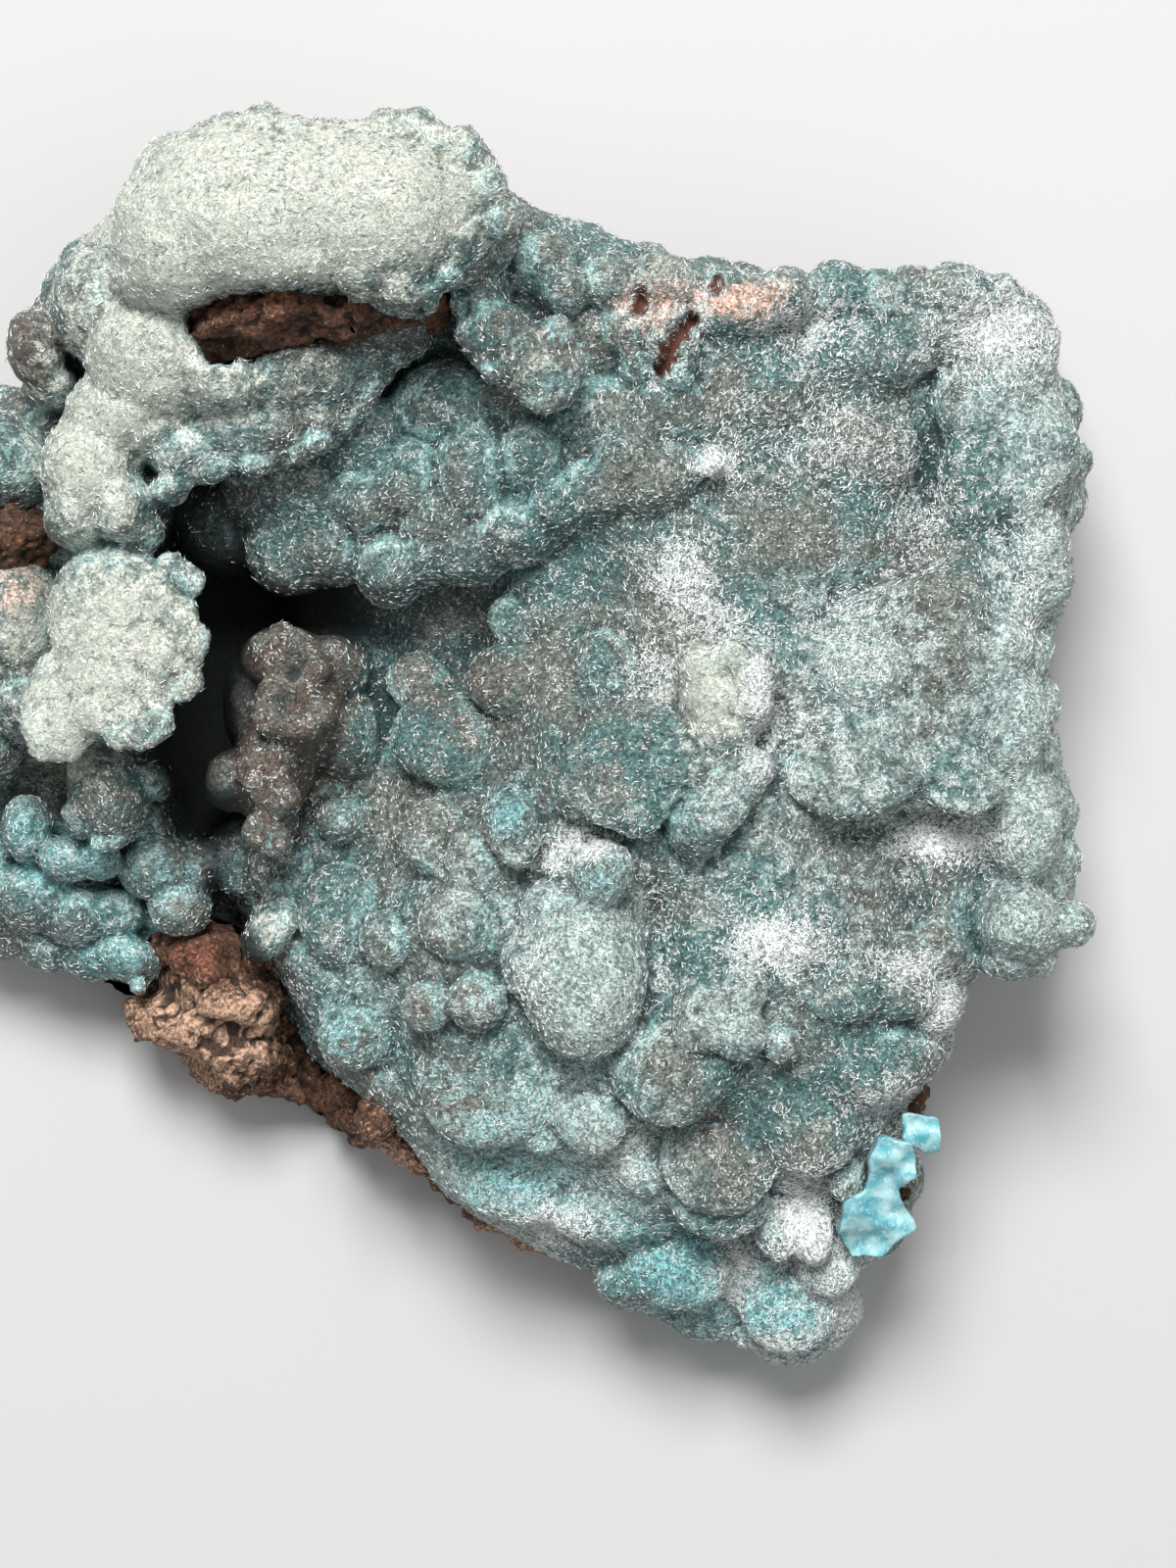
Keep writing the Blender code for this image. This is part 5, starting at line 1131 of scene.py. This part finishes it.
rockPatches = {
    # painted highlights: peach on the front lumps and rim
    "peachHighlight": [(-24.0, -16.6, 3.8, 3.0, 1.1), (-27.6, -14.2, 2.4, 2.2, 0.8), (-12.0, -24.0, 3.0, 2.6, 0.8),
              (-6, -29.4, 5, 1.8, 0.9), (-21.4, -15, 2, 2.4, 0.8)],
    "red": [(-25.0, -11.0, 2.6, 2.0, 0.8), (-21.0, 31.0, 4.0, 1.2, 0.6), (-26.0, 30.0, 1.6, 1.2, 0.6)],
}


def rockMesh():
    shape = rockShape
    outline = [inSight(x, y, shape["rimHeight"]) for x, y in rockOutline]
    slab = outlineSlab("rockSlab", outline, shape["slabFoot"], crustShape["slabTop"])
    mesh = fuse("rockSlab", slab, shape["slabGrid"])
    points = pointsOf(mesh)
    around = shape["spread"] * np.array([(0, 0), (1, 0), (-1, 0), (0, 1), (0, -1)])
    low = np.min([reliefHeight(points[:, :2] + step) for step in around], axis=0)
    inside = distanceToPath(points[:, :2], outline, closed=True)
    width, fall = shape["shoulder"]
    ceiling = low - shape["depth"] - fall * (1 - np.clip(inside / width, 0, 1))
    above = points[:, 2] > 0
    points[above, 2] *= np.maximum(ceiling[above], shape["least"]) / crustShape["slabTop"]
    putPoints(mesh, points)
    mesh = joinMeshes("rock", [mesh, lobeMesh("lumps", rockLumps)])
    mesh = fuse("rock", mesh, shape["grid"])
    for reach, grain in shape["roughness"]:
        points, normals = pointsOf(mesh), normalsOf(mesh)
        push = layeredNoise(points, grain) + 0.6 * (0.5 - cellDistance(points * 0.7, grain))
        putPoints(mesh, points + normals * (push * reach)[:, None])
    points, normals = pointsOf(mesh), normalsOf(mesh)
    grain, depth = shape["pits"]
    push = -depth * np.clip(1 - 2.2 * cellDistance(points, grain, 1.7), 0, 1)
    grain, depth = shape["fine"]
    push += depth * layeredNoise(points, grain, 4, 9.0)
    points = points + normals * push[:, None]
    points[:, 2] = np.maximum(points[:, 2], 0)  # the flat cut
    putPoints(mesh, points)
    return mesh


def rockFinish():
    finish, tree, shader = newFinish("brownRock")
    place = placeInMm(tree)
    patchy = grainOf(tree, place, 0.55, 5.0, 0.8, 0.65)
    speckle = grainOf(tree, place, 3.2, 5.0, 0.3, 0.7)
    colour = mixColour(tree, rangeOf(tree, patchy, 0.3, 0.7), (0.055, 0.026, 0.014), (0.17, 0.075, 0.04))
    red = mathOf(tree, "ADD", attributeOf(tree, "red"), rangeOf(tree, speckle, 0.3, 0.7, -0.4, 0.3))
    colour = mixColour(tree, rangeOf(tree, red, 0.1, 0.9, 0.0, 0.8), colour, (0.24, 0.085, 0.05))
    # painted highlight: peach on the front lumps and rim
    peachHighlight = mathOf(tree, "ADD", attributeOf(tree, "peachHighlight"), rangeOf(tree, speckle, 0.35, 0.7, -0.35, 0.45))
    colour = mixColour(tree, rangeOf(tree, peachHighlight, 0.2, 0.9, 0.0, 0.9), colour, (0.60, 0.38, 0.26))
    colour = mixColour(tree, rangeOf(tree, speckle, 0.60, 0.72, 0.0, 0.6), colour, (0.66, 0.48, 0.35))
    colour = scaled(tree, colour, rangeOf(tree, luckOf(tree, place, 5.0), 0.0, 1.0, 0.45, 1.5))
    # painted shade: near black in the rock's concave folds
    fold = rangeOf(tree, attributeOf(tree, "fold"), 0.55, 1.0, 0.0, 0.9)
    colour = mixColour(tree, fold, colour, (0.012, 0.006, 0.004))
    tree.links.new(colour, shader.inputs["Base Color"])
    shader.inputs["Roughness"].default_value = 0.85
    roughen(tree, shader, grainOf(tree, place, 5.0, 5.0, 0.3, 0.75), 0.8, 0.25)
    return finish


print("rock")
rock = rockMesh()
rockPoints, rockNormals = pointsOf(rock), normalsOf(rock)
rockEdges = edgesOf(rock)
rockAround = neighbourMean(rockEdges, neighbourMean(rockEdges, rockPoints))
rockValues = {name: softSpots(seenPlaces(rockPoints), spots) for name, spots in rockPatches.items()}
rockBulge = ((rockPoints - rockAround) * rockNormals).sum(axis=1)
rockValues["fold"] = np.clip(0.5 - rockBulge / rockShape["fold"], 0, 1)
onCrust, crustNormals = nearestOn(treeOf(crustMesh), rockPoints)
covered = ((onCrust - rockPoints) * crustNormals).sum(axis=1) > rockShape["covered"]
covered &= rockPoints[:, 2] > rockShape["covered"]
rockFaces = facesOf(rock)
rockFaces = rockFaces[~covered[rockFaces].all(axis=1)]  # what the crust hides is left out
rock = partOf("brown_rock", rockPoints, rockNormals, rockFaces, rockValues)
rock.materials.append(rockFinish())
rockPiece = helper("brown_rock", rock)
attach(rockPiece, "root")
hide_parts("limonite_matrix")

# Floor, light and camera

studio = {
    "floorSize": 3.0, "floorDrop": 0.0002, "floorColour": (0.52, 0.515, 0.51),
    "fill": 0.28, "fillColour": (0.93, 0.97, 1.0),
    "keyPower": 6.0, "keySize": 0.24, "key": (-0.05, 0.30, 0.58),
    "softPower": 1.0, "softSize": 0.5, "soft": (0.25, -0.10, 0.65),
}


def addLight(name, power, size, place):
    lamp = bpy.data.lights.new(name, "AREA")
    lamp.energy = power
    lamp.size = size
    thing = helper(name, lamp)
    thing.location = place
    thing.rotation_euler = (Vector((0, 0, 0.02)) - Vector(place)).to_track_quat("-Z", "Y").to_euler()


bpy.ops.mesh.primitive_plane_add(size=studio["floorSize"], location=(0, 0, -studio["floorDrop"]))
floor = bpy.context.object
floor.name = "floor"
floorFinish, floorTree, floorShader = newFinish("paleFloor")
floorShader.inputs["Base Color"].default_value = (*studio["floorColour"], 1.0)
floorShader.inputs["Roughness"].default_value = 0.8
floor.data.materials.append(floorFinish)

world = bpy.data.worlds.new("softRoom")
world.use_nodes = True
room = world.node_tree.nodes["Background"].inputs
room["Color"].default_value = (*studio["fillColour"], 1.0)
room["Strength"].default_value = studio["fill"]
bpy.context.scene.world = world
addLight("key", studio["keyPower"], studio["keySize"], studio["key"])
addLight("softSide", studio["softPower"], studio["softSize"], studio["soft"])

lens = bpy.data.cameras.new("eye")
lens.sensor_width = eye["sensor"]
lens.lens = eye["sensor"] * sharpDistance / eye["longSide"]
lens.clip_start = 0.01
camera = helper("eye", lens)
camera.location = (0, 0, eye["height"] * mm)
bpy.context.scene.camera = camera
bpy.context.scene.view_settings.view_transform = "Standard"

print("done")
